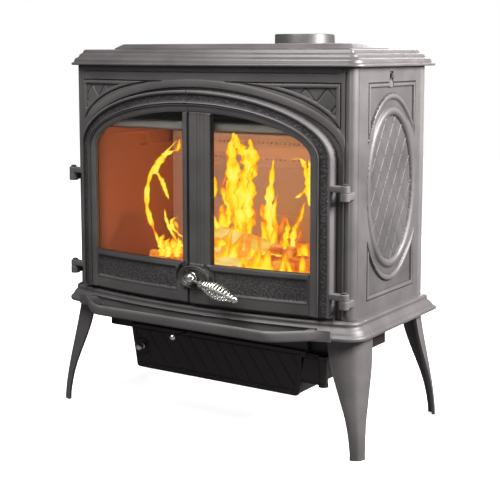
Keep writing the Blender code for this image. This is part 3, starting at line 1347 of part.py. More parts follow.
def air_lever(chrome, steel):
    """The push-pull air rod with its ball, and the valve plate inside the ash box."""
    inside = ASH_BOX_FRONT + ASH_BOX_WALL + 2 * FIT_GAP
    tip = inside + VALVE_THICKNESS
    reach = LEVER_REACH + ASH_BOX_WALL + VALVE_THICKNESS
    start = (LEVER_X, tip, LEVER_Z)
    rod = turned("air_lever_rod", start, (0, -1, 0), [(0, LEVER_RADIUS), (reach, LEVER_RADIUS)], 12, chrome)
    centre = tip - reach
    profile = []
    for step in range(9):
        angle = math.pi * (0.10 + 0.80 * step / 8)
        profile.append((-LEVER_BALL_RADIUS * math.cos(angle), LEVER_BALL_RADIUS * math.sin(angle)))
    ball = turned("air_lever_ball", (LEVER_X, centre, LEVER_Z), (0, -1, 0), profile, 16, chrome)
    socket = [(-0.02, LEVER_RADIUS + FIT_GAP), (FIT_GAP, LEVER_RADIUS + FIT_GAP)]
    cut(ball, turned("ball_socket", (LEVER_X, centre, LEVER_Z), (0, -1, 0), socket, 12))
    plate = box(
        "air_valve_plate", (LEVER_X - VALVE_WIDTH / 2, inside, LEVER_Z - VALVE_HEIGHT / 2),
        (LEVER_X + VALVE_WIDTH / 2, tip, LEVER_Z + VALVE_HEIGHT / 2), steel,
    )
    bore = [(0, LEVER_RADIUS + FIT_GAP), (0.05, LEVER_RADIUS + FIT_GAP)]
    cut(plate, turned("valve_bore", (LEVER_X, inside - 0.01, LEVER_Z), (0, 1, 0), bore, 12))
    return [rod, ball, plate]


def build():
    """Makes every piece, then hangs the moving ones on their joints' axes."""
    iron = make_material("cast_iron", (0.085, 0.080, 0.080), 0.55, 0.5)
    steel = make_material("steel", (0.06, 0.055, 0.055), 0.6, 0.6)
    chrome = make_material("nickel", (0.75, 0.74, 0.72), 0.18, 1.0)
    glass = make_material("ceramic_glass", (0.85, 0.80, 0.72), 0.05, 0.0)
    rope = make_material("rope", (0.55, 0.53, 0.50), 0.9, 0.0)
    stone = make_material("lining", (0.50, 0.30, 0.18), 0.85, 0.0)

    base_sections(iron)
    spots = {}
    for side, across in ((1, "right"), (-1, "left")):
        for end, along in ((-1, "front"), (1, "rear")):
            spots[f"{along}_{across}"] = leg(f"leg_{along}_{across}", side, end, iron)
    bottom_plate(iron, spots)
    for place, spot in spots.items():
        leg_bolt(f"leg_bolt_{place}", spot, steel)
    ash_lip(iron)
    heat_shield(steel)
    ash_box(steel)
    ash_pan(steel)
    ash_door_pin(steel)

    front_frame(iron)
    side_panel("side_panel_right", 1, iron)
    side_panel("side_panel_left", -1, iron)
    back_panel(iron)
    top_plate(iron)
    griddle(iron)
    flue_outlet(iron)
    hinge_pins(steel)
    lining(stone)
    air_manifold(steel)
    firebox_fittings(steel, iron)

    hinge_place = Vector((HINGE_X, HINGE_Y, HANDLE_Z))
    for side, word in ((1, "right"), (-1, "left")):
        leaf = [door(side, iron), door_glass(side, glass), glass_retainer(side, steel)]
        leaf += [door_rope(side, rope), escutcheon(side, iron)]
        place = Vector((side * hinge_place.x, hinge_place.y, hinge_place.z))
        carry(pivot_at(f"{word}_door_axis", place), leaf)
    handle = pivot_at("handle_axis", (HANDLE_X, handle_face(), HANDLE_Z))
    carry(handle, handle_pieces(chrome, steel))
    grip = coil_handle(chrome)
    grip.parent = handle
    x, y = ash_hinge()
    ash_leaf = pivot_at("ash_door_axis", (x, y, ASH_KNOB_Z))
    carry(ash_leaf, [ash_door(iron)])
    carry(pivot_at("ash_knob_axis", (ASH_KNOB_X, y, ASH_KNOB_Z)), ash_knob(chrome, steel))
    carry(pivot_at("air_lever_axis", (LEVER_X, ASH_BOX_FRONT, LEVER_Z)), air_lever(chrome, steel))
    carry(pivot_at("damper_axis", (0, DAMPER_Y, DAMPER_Z)), damper(chrome, steel))


def centre_on_origin():
    """Moves everything along Y, so that the middle of the footprint is the origin."""
    foremost = lip_front(0.0)
    rearmost = COLLAR_Y + OUTLET_HALF_WIDTH
    shift = -(foremost + rearmost) / 2
    for thing in bpy.context.scene.collection.objects:
        if thing.parent is None:
            thing.location.y += shift
    print(f"moved by {shift * 1000:.2f} mm along Y")


for leftover in list(bpy.data.objects):
    bpy.data.objects.remove(leftover, do_unlink=True)
build()
centre_on_origin()
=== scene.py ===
import math

import bmesh
import bpy
import numpy as np
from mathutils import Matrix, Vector


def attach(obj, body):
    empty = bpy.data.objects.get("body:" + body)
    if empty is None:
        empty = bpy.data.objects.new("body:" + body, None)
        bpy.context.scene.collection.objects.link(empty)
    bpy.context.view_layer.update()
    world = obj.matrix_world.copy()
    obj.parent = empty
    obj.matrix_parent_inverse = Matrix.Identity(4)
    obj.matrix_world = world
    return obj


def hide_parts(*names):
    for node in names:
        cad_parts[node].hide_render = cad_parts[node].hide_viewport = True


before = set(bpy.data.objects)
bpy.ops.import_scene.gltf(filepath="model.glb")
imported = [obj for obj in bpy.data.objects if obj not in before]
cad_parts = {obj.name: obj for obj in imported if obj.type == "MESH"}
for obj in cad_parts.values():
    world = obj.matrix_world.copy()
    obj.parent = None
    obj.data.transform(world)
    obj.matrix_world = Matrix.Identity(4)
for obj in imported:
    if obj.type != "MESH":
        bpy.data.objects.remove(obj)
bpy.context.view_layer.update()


# Base moulding. A cast-iron frame under the body in four castings: one that runs round the
# bowed front and both corners, two sides and the back. Each is cast in sand, ground at its
# ends, bolted to the firebox floor and fired with a dark grey enamel.
BODY_Y = -0.036
BODY_HALF = (0.370, 0.1645)
BOW_CENTRE, BOW_RADIUS = 1.2375, 1.4500
CORNER_X, CORNER_Y, CORNER_RADIUS = 0.350, -0.14901, 0.020
CORNER_ANGLE = math.asin(CORNER_X / (BOW_RADIUS - CORNER_RADIUS))
BODY_LOW, BODY_HIGH = 0.2823, 0.8018
BASE_LOW, BASE_HIGH = 0.2450, 0.2820
LIP_NOTCH, LIP_NOTCH_TOP, LIP_WALL = 0.3000, 0.2663, 0.0020
BACK_LAP, BACK_REACH = 0.0123, 0.0393
ENAMEL = (0.118, 0.108, 0.109)


def front_y(x, out=0.0):
    """Y of the bowed front: the bow's centre less the root of (radius + out) squared minus x squared."""
    return BOW_CENTRE - np.sqrt((BOW_RADIUS + out) ** 2 - np.square(x))


def eased(value, low, high):
    """Smooth step: 0 below low, 1 above high, and 3s^2 - 2s^3 between."""
    s = np.clip((value - low) / (high - low), 0.0, 1.0)
    return s * s * (3.0 - 2.0 * s)


def feed(tree, source, node, socket):
    """Feeds a node's socket: a (node, output) pair is a link, and anything else its own value."""
    if isinstance(source, tuple) and isinstance(source[0], bpy.types.Node):
        tree.links.new(source[0].outputs[source[1]], node.inputs[socket])
    else:
        node.inputs[socket].default_value = source


def add_node(tree, kind, **settings):
    """One shader node, with its sockets fed, or its properties set where no socket has that name."""
    made = tree.nodes.new(kind)
    for label, value in settings.items():
        if label in made.inputs:
            feed(tree, value, made, label)
        else:
            setattr(made, label, value)
    return made


def ramp(tree, source, stops):
    """A colour ramp fed by source, with (place, colour) stops, where one number stands for a grey.
    It comes back as a (node, output) pair."""
    made = tree.nodes.new("ShaderNodeValToRGB")
    bar = made.color_ramp
    while len(bar.elements) < len(stops):
        bar.elements.new(1.0)
    for element, (place, colour) in zip(bar.elements, stops):
        element.position = place
        element.color = (*np.broadcast_to(colour, 3).tolist(), 1.0)
    feed(tree, source, made, "Fac")
    return made, "Color"


def mixed_colour(tree, share, first, second, blend="MIX"):
    """Two colours mixed by a share: each is a value or a (node, output) pair, and so is the result."""
    made = add_node(tree, "ShaderNodeMix", data_type="RGBA", blend_type=blend)
    for socket, value in ((0, share), (6, first), (7, second)):
        feed(tree, value, made, socket)
    return made, 2


def shade(colour, strength):
    """A colour times a strength."""
    return tuple(strength * c for c in colour)


def new_finish(name):
    """A new material, its node tree, its shader, and the piece's own places as a (node, output) pair."""
    made = bpy.data.materials.new(name)
    made.use_nodes = True
    tree = made.node_tree
    return made, tree, tree.nodes["Principled BSDF"], (add_node(tree, "ShaderNodeTexCoord"), "Object")


def noise(tree, source, scale, detail=2.0, twist=0.0):
    """A noise over the places that source gives, as a (node, output) pair."""
    made = add_node(tree, "ShaderNodeTexNoise", Vector=source, Scale=scale, Detail=detail, Distortion=twist)
    return made, "Fac"


def surface(tree, shader, tone, gloss, fine, relief, strength, metal=0.0):
    """Gives the shader a base colour, a roughness, a metal share, and a bump whose height is relief
    times the fine pattern, weighted by strength."""
    feed(tree, tone, shader, "Base Color")
    feed(tree, gloss, shader, "Roughness")
    feed(tree, metal, shader, "Metallic")
    bump = add_node(tree, "ShaderNodeBump", Distance=relief, Strength=strength, Height=fine)
    feed(tree, (bump, "Normal"), shader, "Normal")


def cast_enamel(name, colour=ENAMEL, grain=620.0, relief=0.00035, pebble=0.0, dull=0.0, metal=0.25):
    """Fired enamel over sand-cast iron: two greys mottled by noise, dark in the pits of the sand
    grain, with painted shade that darkens the hollows and a painted highlight, partly wear, that
    brightens sharp edges. A pebble width adds a hammered skin of round dimples, with painted light and shade
    on them."""
    made, tree, shader, place = new_finish(name)
    cloud, sand = noise(tree, place, 11.0, 5.0), noise(tree, place, grain, 3.0)
    tone = ramp(tree, cloud, ((0.32, shade(colour, 0.84)), (0.68, shade(colour, 1.14))))
    speck = ramp(tree, sand, ((0.30, 0.80), (0.62, 1.08)))
    both = mixed_colour(tree, 0.75, tone, speck, "MULTIPLY")
    shape = add_node(tree, "ShaderNodeNewGeometry")
    # Painted highlight, partly wear: sharp edges, found by pointiness, are brightened.
    edge = ramp(tree, (shape, "Pointiness"), ((0.50, 0.0), (0.60, 0.35)))
    worn_and_highlit = mixed_colour(tree, edge, both, (*shade(colour, 1.9), 1.0))
    # Painted shade: hollows and creases, found by pointiness, are darkened.
    hollow = ramp(tree, (shape, "Pointiness"), ((0.44, 0.40), (0.495, 1.0)))
    tone_with_painted_light = mixed_colour(tree, 1.0, worn_and_highlit, hollow, "MULTIPLY")
    feed(tree, ramp(tree, cloud, ((0.3, 0.44 + dull), (0.7, 0.56 + dull))), shader, "Roughness")
    feed(tree, metal, shader, "Metallic")
    bump = add_node(tree, "ShaderNodeBump", Distance=relief, Strength=0.6, Height=sand)
    if pebble:
        dimple = add_node(tree, "ShaderNodeTexVoronoi", Vector=place, Scale=1.0 / pebble)
        dimple.feature = "SMOOTH_F1"
        feed(tree, 0.6, dimple, "Smoothness")
        hammered = add_node(
            tree, "ShaderNodeBump", Distance=0.35 * pebble, Strength=0.9,
            Height=(dimple, "Distance"), Normal=(bump, "Normal"),
        )
        hammered.invert = True
        bump = hammered
        # Painted light and shade on the dimples: brighter in their middles, darker between them.
        pits = ramp(tree, (dimple, "Distance"), ((0.10, 1.35), (0.55, 0.62)))
        tone_with_painted_light = mixed_colour(tree, 1.0, tone_with_painted_light, pits, "MULTIPLY")
    feed(tree, tone_with_painted_light, shader, "Base Color")
    feed(tree, (bump, "Normal"), shader, "Normal")
    return made


def show(thing):
    """Puts an object into the scene."""
    bpy.context.scene.collection.objects.link(thing)


def lay(
    name, points, faces, finish, body="stove_body", part="enamelled_iron", stands_for=(), crease=34.0
):
    """One piece: its points are worked out about the body's middle and moved by BODY_Y, doubles are
    merged, its faces are turned outwards by the sign of the enclosed volume, and it rides on its body."""
    mesh = bpy.data.meshes.new(name)
    placed = np.asarray(points, float).reshape(-1, 3) + (0.0, BODY_Y, 0.0)
    mesh.from_pydata(placed.tolist(), [], faces)
    shape = bmesh.new()
    shape.from_mesh(mesh)
    bmesh.ops.remove_doubles(shape, verts=shape.verts, dist=2e-6)
    shape.to_mesh(mesh)
    shape.free()
    mesh.calc_loop_triangles()
    corners = np.empty(3 * len(mesh.loop_triangles), np.int32)
    mesh.loop_triangles.foreach_get("vertices", corners)
    spots = np.empty(3 * len(mesh.vertices))
    mesh.vertices.foreach_get("co", spots)
    a, b, c = spots.reshape(-1, 3)[corners.reshape(-1, 3)].transpose(1, 0, 2)
    if (np.cross(a, b) * c).sum() < 0:
        mesh.flip_normals()
    mesh.shade_smooth()
    mesh.set_sharp_from_angle(angle=math.radians(crease))
    mesh.materials.append(finish)
    piece = bpy.data.objects.new(name, mesh)
    show(piece)
    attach(piece, body)
    if stands_for:
        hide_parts(*stands_for)
    return piece


def skin(rings, capped=True):
    """Faces over rings of equal length, (rings, count, 3): quads between neighbours, and a cap at
    each end, or the last ring joined to the first."""
    count, width = rings.shape[:2]
    spot = np.arange(count * width).reshape(count, width)
    here, there = (spot[:-1], spot[1:]) if capped else (spot, np.roll(spot, -1, axis=0))
    quads = np.stack([here, np.roll(here, -1, axis=1), np.roll(there, -1, axis=1), there], axis=-1)
    faces = quads.reshape(-1, 4).tolist()
    if capped:
        faces += [spot[0, ::-1].tolist(), spot[-1].tolist()]
    return faces


def several(shells):
    """Points and faces of several shells as one: each shell's faces are moved on by the points before it."""
    points, faces, first = [], [], 0
    for spots, own in shells:
        spots = np.asarray(spots, float).reshape(-1, 3)
        points.append(spots)
        faces += [[first + k for k in face] for face in own]
        first += len(spots)
    return np.concatenate(points), faces


def plan_path(front=120, corner=14):
    """The body's plan from its left seam over the bow to its right seam, as points and outward
    normals: an arc of BOW_RADIUS, then a corner arc of CORNER_RADIUS at each end."""
    bow = np.linspace(-CORNER_ANGLE, CORNER_ANGLE, front)
    turn = np.linspace(CORNER_ANGLE, math.pi / 2, corner)[1:]
    ends = np.stack([CORNER_X + CORNER_RADIUS * np.sin(turn), CORNER_Y - CORNER_RADIUS * np.cos(turn)], 1)
    way = np.stack([np.sin(turn), -np.cos(turn)], 1)
    middle = np.stack([BOW_RADIUS * np.sin(bow), BOW_CENTRE - BOW_RADIUS * np.cos(bow)], 1)
    flip = np.array([-1.0, 1.0])
    points = np.concatenate([ends[::-1] * flip, middle, ends])
    normals = np.concatenate([way[::-1] * flip, np.stack([np.sin(bow), -np.cos(bow)], 1), way])
    return points, normals


def moulded(points, normals, profile):
    """Rings of a moulding: each (distance out, height) of the profile set at every point of the path."""
    out, height = np.asarray(profile, float).T
    flat = points[:, None, :] + normals[:, None, :] * out[None, :, None]
    return np.concatenate([flat, np.broadcast_to(height[None, :, None], flat.shape[:2] + (1,))], axis=2)


def rounded(profile, steps=4):
    """A profile drawn as a smooth line: a Catmull-Rom curve through its points, steps to a span."""
    p = np.asarray(profile, float)
    q = np.concatenate([2 * p[:1] - p[1:2], p, 2 * p[-1:] - p[-2:-1]])
    t = (np.arange(steps) / steps)[None, :, None]
    a, b, c, d = (q[i:len(q) - 3 + i, None, :] for i in range(4))
    curve = 0.5 * (2 * b + (c - a) * t + (2 * a - 5 * b + 4 * c - d) * t**2 + (3 * b - a - 3 * c + d) * t**3)
    return np.concatenate([curve.reshape(-1, p.shape[1]), p[-1:]])


enamel = cast_enamel("grey_enamel")
base_edge = rounded([
    (0.004, BASE_HIGH), (0.0085, 0.2806), (0.0110, 0.2775), (0.0108, 0.2725), (0.0125, 0.2690),
    (0.0160, 0.2655), (0.0195, 0.2605), (0.0215, 0.2565), (0.0250, 0.2535), (0.0270, 0.2508),
    (0.0270, 0.2462), (0.0262, BASE_LOW),
])
base_profile = np.concatenate([base_edge, [(0.002, BASE_LOW), (-0.012, BASE_LOW), (-0.012, BASE_HIGH)]])
path, out = plan_path()
side_line = np.array([(-BODY_HALF[0], y) for y in (-0.1315, -0.1324, -0.1400)])
path = np.concatenate([side_line, path, side_line[::-1] * (-1, 1)])
out = np.concatenate([[(-0.92, 0), (-1, 0), (-1, 0)], out, [(1, 0), (1, 0), (0.92, 0)]])
notch = np.searchsorted(path[:, 0], (-LIP_NOTCH, LIP_NOTCH))
twice = (-1, -1, 1, 1)
notch_points = [(side * LIP_NOTCH, float(front_y(LIP_NOTCH))) for side in twice]
notch_normals = [(side * LIP_NOTCH / BOW_RADIUS, -0.978) for side in twice]
path = np.insert(path, np.repeat(notch, 2), notch_points, axis=0)
out = np.insert(out, np.repeat(notch, 2), notch_normals, axis=0)
rings = moulded(path, out, base_profile)
inside = np.zeros(len(path), bool)
inside[notch[0] + 1:notch[1] + 3] = True
under = base_profile[:, 1] < LIP_NOTCH_TOP
most = np.where(under, LIP_WALL, 1.0)[None, :]
cut_back = np.minimum(base_profile[None, :, 0], most)
clipped = moulded(path, out, base_profile)
clipped[..., :2] = path[:, None, :] + out[:, None, :] * cut_back[..., None]
rings[inside] = clipped[inside]
lay("base_moulding_front", rings, skin(rings), enamel, stands_for=("base_front",))
for side, word in ((1, "right"), (-1, "left")):
    stations = np.append(-0.1312, np.linspace(-0.1303, BODY_HALF[1], 23))
    line = np.stack([np.full(24, side * BODY_HALF[0]), stations], 1)
    way = np.tile((float(side), 0.0), (24, 1))
    way[0] = (0.92 * side, 0.0)
    way[-1] = (side, 1.0)
    rings = moulded(line, way, base_profile)
    rings[-1, :, 1] = np.minimum(rings[-1, :, 1], BODY_HALF[1] - BACK_LAP + BACK_REACH)
    rings[-1, base_profile[:, 0] < 0, 1] = BODY_HALF[1] - BACK_LAP
    lay(f"base_moulding_{word}", rings, skin(rings), enamel, stands_for=(f"base_side_{word}",))
line = np.stack([np.linspace(-BODY_HALF[0], BODY_HALF[0], 40), np.full(40, BODY_HALF[1])], 1)
way = np.tile((0.0, 1.0), (40, 1))
way[0], way[-1] = (-1.0, 1.0), (1.0, 1.0)
rings = moulded(line, way, base_profile)
rings[0, :, 0] += 0.0006
rings[-1, :, 0] -= 0.0006
lay("base_moulding_back", rings, skin(rings), enamel, stands_for=("base_back",))


# Legs. Four splayed legs, each cast as a hollow quarter-round that narrows to the foot, with a
# flat flange inside its top. A hexagon bolt holds the flange up to a boss under the floor.
LEG_HIGH, LEG_WALL, LEG_TOP_RADIUS = 0.2447, 0.008, 0.058


def leg_rings(levels=48, arc=22):
    """Rings up one leg in its own quarter: the corner splays out by .037 - .021 s^1.3, the radius
    grows from .025 to .058 by a smooth step of s, a low ridge runs down the middle, and a flat
    wing carries each end on by up to 12 mm near the top."""
    s = np.linspace(0.0, 1.0, levels)[:, None]
    angle = np.linspace(0.0, math.pi / 2, arc)[None, :]
    radius = 0.025 + 0.033 * s * s * (3 - 2 * s)
    splay = 0.037 - 0.021 * s**1.3
    centre_x = BODY_HALF[0] + splay - radius
    centre_y = BODY_HALF[1] + splay - 0.004 - radius
    ridge = 0.0012 * np.exp(-np.square((angle - math.pi / 4) / 0.20)) - 0.0012
    outer = radius + ridge * (1 - 0.5 * s)
    inner = np.broadcast_to(radius - LEG_WALL, outer.shape)
    wing = np.linspace(1.0, 0.0, 5)[None, :-1] * 0.012 * eased(s, 0.25, 0.85)
    ring = []
    for r in (outer, inner):
        edge = r[:, :1]
        first = np.stack([centre_x + edge + 0 * wing, centre_y - wing], 2)
        last = np.stack([centre_x - wing[:, ::-1], centre_y + edge + 0 * wing], 2)
        arc = np.stack([centre_x + r * np.cos(angle), centre_y + r * np.sin(angle)], 2)
        ring.append(np.concatenate([first, arc, last], axis=1))
    flat = np.concatenate([ring[0], ring[1][:, ::-1]], axis=1)
    height = np.broadcast_to((LEG_HIGH * s)[:, :, None], flat.shape[:2] + (1,))
    return np.concatenate([flat, height], axis=2)


def leg_flange():
    """The flange as two rings: a square with a rounded outer corner, ten millimetres thick."""
    angle = np.linspace(0.0, math.pi / 2, 12)
    corner = (BODY_HALF[0] + 0.016 - LEG_TOP_RADIUS, BODY_HALF[1] + 0.012 - LEG_TOP_RADIUS)
    arc = np.stack([corner[0] + 0.0505 * np.cos(angle), corner[1] + 0.0505 * np.sin(angle)], 1)
    back = (BODY_HALF[0] + 0.016 - 0.062, BODY_HALF[1] + 0.012 - 0.062)
    plan = np.concatenate([arc, [(back[0], arc[-1, 1]), back, (arc[0, 0], back[1])]])
    return np.stack([np.column_stack([plan, np.full(len(plan), z)]) for z in (0.2350, 0.24465)])


limb, shelf = leg_rings(), leg_flange()
for side, across in ((1, "right"), (-1, "left")):
    for end, along in ((-1, "front"), (1, "rear")):
        turned_over = (side, end, 1)
        shells = [(part * turned_over, skin(part)) for part in (limb, shelf)]
        name = f"leg_{along}_{across}"
        lay("cast_" + name, *several(shells), enamel, stands_for=(name,))


# Front casting. One bowed plate with a rounded, fluted column at each side, cast with the arched
# door opening in it. The face carries a sunk panel line under the top, and a beaded spandrel
# with a diamond lattice at each upper corner. A lug for each hinge stands on the columns.
OPENING_HALF, OPENING_LOW, SPRING, OPENING_RISE = 0.312, 0.311, 0.615, 0.116
DOOR_HALF, DOOR_LOW, DOOR_RISE = 0.332, 0.291, 0.136
WALL = 0.008


def band(value, low, high, soft=0.0010):
    """1 between low and high and 0 outside, with soft edges."""
    return eased(value, low - soft / 2, low + soft / 2) * (1 - eased(value, high - soft / 2, high + soft / 2))


def bead(value, low, high):
    """A half-round between low and high: the root of 1 less the squared share from the middle."""
    share = (2 * value - low - high) / (high - low)
    return np.sqrt(np.clip(1 - share**2, 0.0, 1.0))


def lattice(a, b, slope, pitch, shift, width):
    """Crossing straight lines: 1 on a line and 0 away from it, for both leans of b = slope a."""
    lines = 0.0
    for lean, start in zip((slope, -slope), shift):
        level = (b - lean * a - start) / pitch
        gap = np.abs(level - np.round(level)) * pitch / math.hypot(1.0, slope)
        lines = np.maximum(lines, 1 - eased(gap, 0.3 * width, 0.7 * width))
    return lines


def beyond_arch(x, z):
    """Distance outside the door's outline: |x| less its half width below the spring, and the first
    order distance to the ellipse above it."""
    up = np.maximum(z - SPRING, 0.0)
    level = np.square(x / DOOR_HALF) + np.square(up / DOOR_RISE) - 1
    steep = 2 * np.sqrt(np.square(x / DOOR_HALF**2) + np.square(up / DOOR_RISE**2)) + 1e-9
    return np.where(z > SPRING, level / steep, np.abs(x) - DOOR_HALF)


def spandrel_depth(x, z):
    """Distance inside the spandrel: the least of the distances to its top, its side and its curve."""
    x = np.abs(x)
    share = np.clip(1 - (x / 0.354) ** 2.4, 1e-6, 1.0)
    curve = SPRING + 0.156 * share ** (1 / 2.4)
    slope = -0.156 / 2.4 * share ** (1 / 2.4 - 1) * 2.4 * (x / 0.354) ** 1.4 / 0.354
    return np.minimum(np.minimum(0.7705 - z, 0.3425 - x), (z - curve) / np.hypot(1.0, slope))


def front_relief(x, z):
    """How far the front's face stands out: a deep channel round the door, a swell beyond it, the
    spandrels' groove, bead and lattice, and the panel line under the top."""
    far = beyond_arch(x, z)
    deep = 0.013 - 0.007 * eased(z, 0.640, 0.745)
    height = -0.0070 * band(far, 0.0005, deep, 0.0014)
    height = height + 0.0014 * bead(far, deep + 0.0005, deep + 0.015) * eased(z, 0.60, 0.66)
    depth = spandrel_depth(x, z)
    framed = (np.abs(x) > 0.085) * eased(z, 0.666, 0.684)
    lines = lattice(np.abs(x) - 0.2897, z - 0.7301, 1.32, 0.0604, (0.0, 0.0), 0.0026)
    inner = np.where(depth > 0.0105, -0.0030 - 0.0018 * lines, 0.0)
    carved = -0.0034 * band(depth, 0.0, 0.0026, 0.0008) + 0.0016 * bead(depth, 0.0026, 0.0105)
    height = height + framed * np.where(depth > 0, carved + inner, 0.0)
    corner = np.hypot(np.maximum(np.abs(x) - 0.338, 0.0), np.maximum(0.797 - z, 0.0)) - 0.008
    line = np.abs(np.where(np.abs(x) < 0.338, z - 0.789, corner))
    return height - 0.0016 * (1 - eased(line, 0.0006, 0.0016)) * (z > 0.786) * (np.abs(x) < 0.348)


def column_relief(along, z):
    """How far a column's face stands out, by the distance along its plan from the opening: a flute
    on each side of the round, closed at both ends."""
    ends = band(z, 0.2905, 0.7950, 0.0030)
    first = 1 - eased(np.abs(along - 0.0405), 0.0006, 0.0020)
    last = 1 - eased(np.abs(along - 0.0735), 0.0006, 0.0020)
    ridge = 0.0008 * bead(along, 0.0430, 0.0500)
    return ends * (ridge - 0.0020 * first - 0.0016 * last)


def front_columns(side):
    """Grid over one column, from the opening round the corner to the seam: plan points and normals
    along it, rows up it that meet the arch's and the sill's rows, moved out by both reliefs."""
    lead = np.linspace(OPENING_HALF, CORNER_X * BOW_RADIUS / (BOW_RADIUS - CORNER_RADIUS), 22)
    flat = np.stack([lead, front_y(lead)], 1)
    way = np.stack([lead / BOW_RADIUS, -np.sqrt(1 - np.square(lead / BOW_RADIUS))], 1)
    turn = np.linspace(CORNER_ANGLE, math.pi / 2, 20)[1:]
    bend = np.stack([CORNER_X + CORNER_RADIUS * np.sin(turn), CORNER_Y - CORNER_RADIUS * np.cos(turn)], 1)
    plan = np.concatenate([flat, bend, [(BODY_HALF[0], CORNER_Y + by) for by in (0.0010, 0.0020)]])
    way = np.concatenate([way, np.stack([np.sin(turn), -np.cos(turn)], 1), [(1.0, 0.0), (1.0, 0.0)]])
    along = np.concatenate([[0.0], np.cumsum(np.hypot(*np.diff(plan, axis=0).T))])
    rows = np.concatenate([
        np.linspace(BODY_LOW, OPENING_LOW, 13)[:-1], np.linspace(OPENING_LOW, SPRING, 81)[:-1],
        np.linspace(SPRING, BODY_HIGH, 97),
    ])
    x, z = np.meshgrid(plan[:, 0], rows, indexing="ij")
    out_by = front_relief(x, z) * (along < 0.045)[:, None] + column_relief(along[:, None], z)
    flat = plan[:, None, :] + way[:, None, :] * out_by[..., None]
    grid = np.concatenate([flat, z[..., None]], axis=2)
    return grid * (side, 1, 1)


def front_patch(x, low, high, rows):
    """Grid over the bowed face between two heights at each x, moved out by the front's relief."""
    share = np.linspace(0.0, 1.0, rows)[None, :]
    z = low[:, None] + (high - low)[:, None] * share
    x = np.broadcast_to(x[:, None], z.shape)
    out_by = front_relief(x, z)
    reach = BOW_RADIUS + out_by
    return np.stack(
        [x * reach / BOW_RADIUS, BOW_CENTRE - reach * np.sqrt(1 - np.square(x / BOW_RADIUS)), z], 2
    )


def net(grid, flip=False):
    """Quads over a grid of points (a, b, 3)."""
    spot = np.arange(grid.shape[0] * grid.shape[1]).reshape(grid.shape[:2])
    quads = np.stack([spot[:-1, :-1], spot[1:, :-1], spot[1:, 1:], spot[:-1, 1:]], -1).reshape(-1, 4)
    return (quads[:, ::-1] if flip else quads).tolist()


def walled(piece, thickness):
    """Gives an open sheet a wall behind its face."""
    wall = piece.modifiers.new("wall", "SOLIDIFY")
    wall.thickness, wall.offset = thickness, -1.0
    return piece


half = 1 - (1 - np.linspace(0.0, 1.0, 120)) ** 1.6
across = OPENING_HALF * np.concatenate([-half[:0:-1], half])
arch = SPRING + OPENING_RISE * np.sqrt(np.clip(1 - np.square(across / OPENING_HALF), 0.0, 1.0))
upper = front_patch(across, arch, np.full(len(across), BODY_HIGH), 97)
rail_x = np.linspace(-OPENING_HALF, OPENING_HALF, 120)
lower = front_patch(rail_x, np.full(120, BODY_LOW), np.full(120, OPENING_LOW), 13)
right, left = front_columns(1), front_columns(-1)
shells = [(upper, net(upper)), (lower, net(lower)), (right, net(right)), (left, net(left, True))]
casting = lay("front_casting", *several(shells), enamel, stands_for=("front_frame",))
walled(casting, WALL)


def block(low, high, soft, rounds=3):
    """A box with every edge rounded: rings of rounded rectangles up Z, drawn in by a quarter circle
    at the bottom and at the top."""
    low, high = np.asarray(low, float), np.asarray(high, float)
    turn = np.linspace(0.0, math.pi / 2, rounds + 1)
    inset = soft * (1 - np.sin(turn))
    height = low[2] + soft * (1 - np.cos(turn))
    height = np.concatenate([height, high[2] - soft * (1 - np.cos(turn))[::-1]])
    inset = np.concatenate([inset, inset[::-1]])
    corner = np.concatenate([turn + k * math.pi / 2 for k in range(4)])
    middle, reach = (low + high) / 2, (high - low) / 2
    sign_x = np.repeat((1, -1, -1, 1), rounds + 1)
    sign_y = np.repeat((1, 1, -1, -1), rounds + 1)
    x = middle[0] + sign_x * (reach[0] - soft) + (soft - inset[:, None]) * np.cos(corner)
    y = middle[1] + sign_y * (reach[1] - soft) + (soft - inset[:, None]) * np.sin(corner)
    return np.stack([x, y, np.broadcast_to(height[:, None], x.shape)], 2)


HINGE_X, HINGE_Y, LUG_TOPS, LUG_TALL = 0.362, -0.188, (0.3290, 0.5505), 0.0170


def full_turn(count):
    """Even angles once round, without the last that would meet the first."""
    return np.linspace(0.0, 2 * math.pi, count, endpoint=False)


def turn_about(start, direction, profile, steps=28):
    """A turned form: each (distance, radius) of the profile is a ring round the axis. A radius of 0
    closes to a pole when doubles are merged."""
    way = np.asarray(direction, float) / np.linalg.norm(direction)
    first = np.cross(way, (0.0, 0.0, 1.0) if abs(way[2]) < 0.9 else (1.0, 0.0, 0.0))
    first /= np.linalg.norm(first)
    second = np.cross(way, first)
    angle = full_turn(steps)
    spoke = np.cos(angle)[:, None] * first + np.sin(angle)[:, None] * second
    distance, radius = np.asarray(profile, float).T
    return np.asarray(start, float) + distance[:, None, None] * way + radius[:, None, None] * spoke


def turned_shell(start, direction, profile, steps=28):
    """Points and faces of a turned form whose profile starts and ends on the axis."""
    rings = turn_about(start, direction, profile, steps)
    return rings, skin(rings)


def lug(x, y, low, high, radius=0.0102):
    """The round end of a hinge lug: a short barrel with softened edges."""
    profile = [(0.0, 0.0), (0.0, radius - 0.001), (0.001, radius), (high - low - 0.001, radius),
               (high - low, radius - 0.001), (high - low, 0.0)]
    return turned_shell((x, y, low), (0, 0, 1), profile)


shells = []
for side in (1, -1):
    for top in LUG_TOPS:
        low = top - LUG_TALL
        shells.append(lug(side * HINGE_X, HINGE_Y, low, top))
        ends = np.sort([side * (HINGE_X - 0.0085), side * (HINGE_X + 0.0085)])
        arm = block((ends[0], HINGE_Y, low + 0.0015), (ends[1], CORNER_Y - 0.010, top - 0.0008), 0.0018)
        shells.append((arm, skin(arm)))
lay("body_hinge_lugs", *several(shells), enamel)


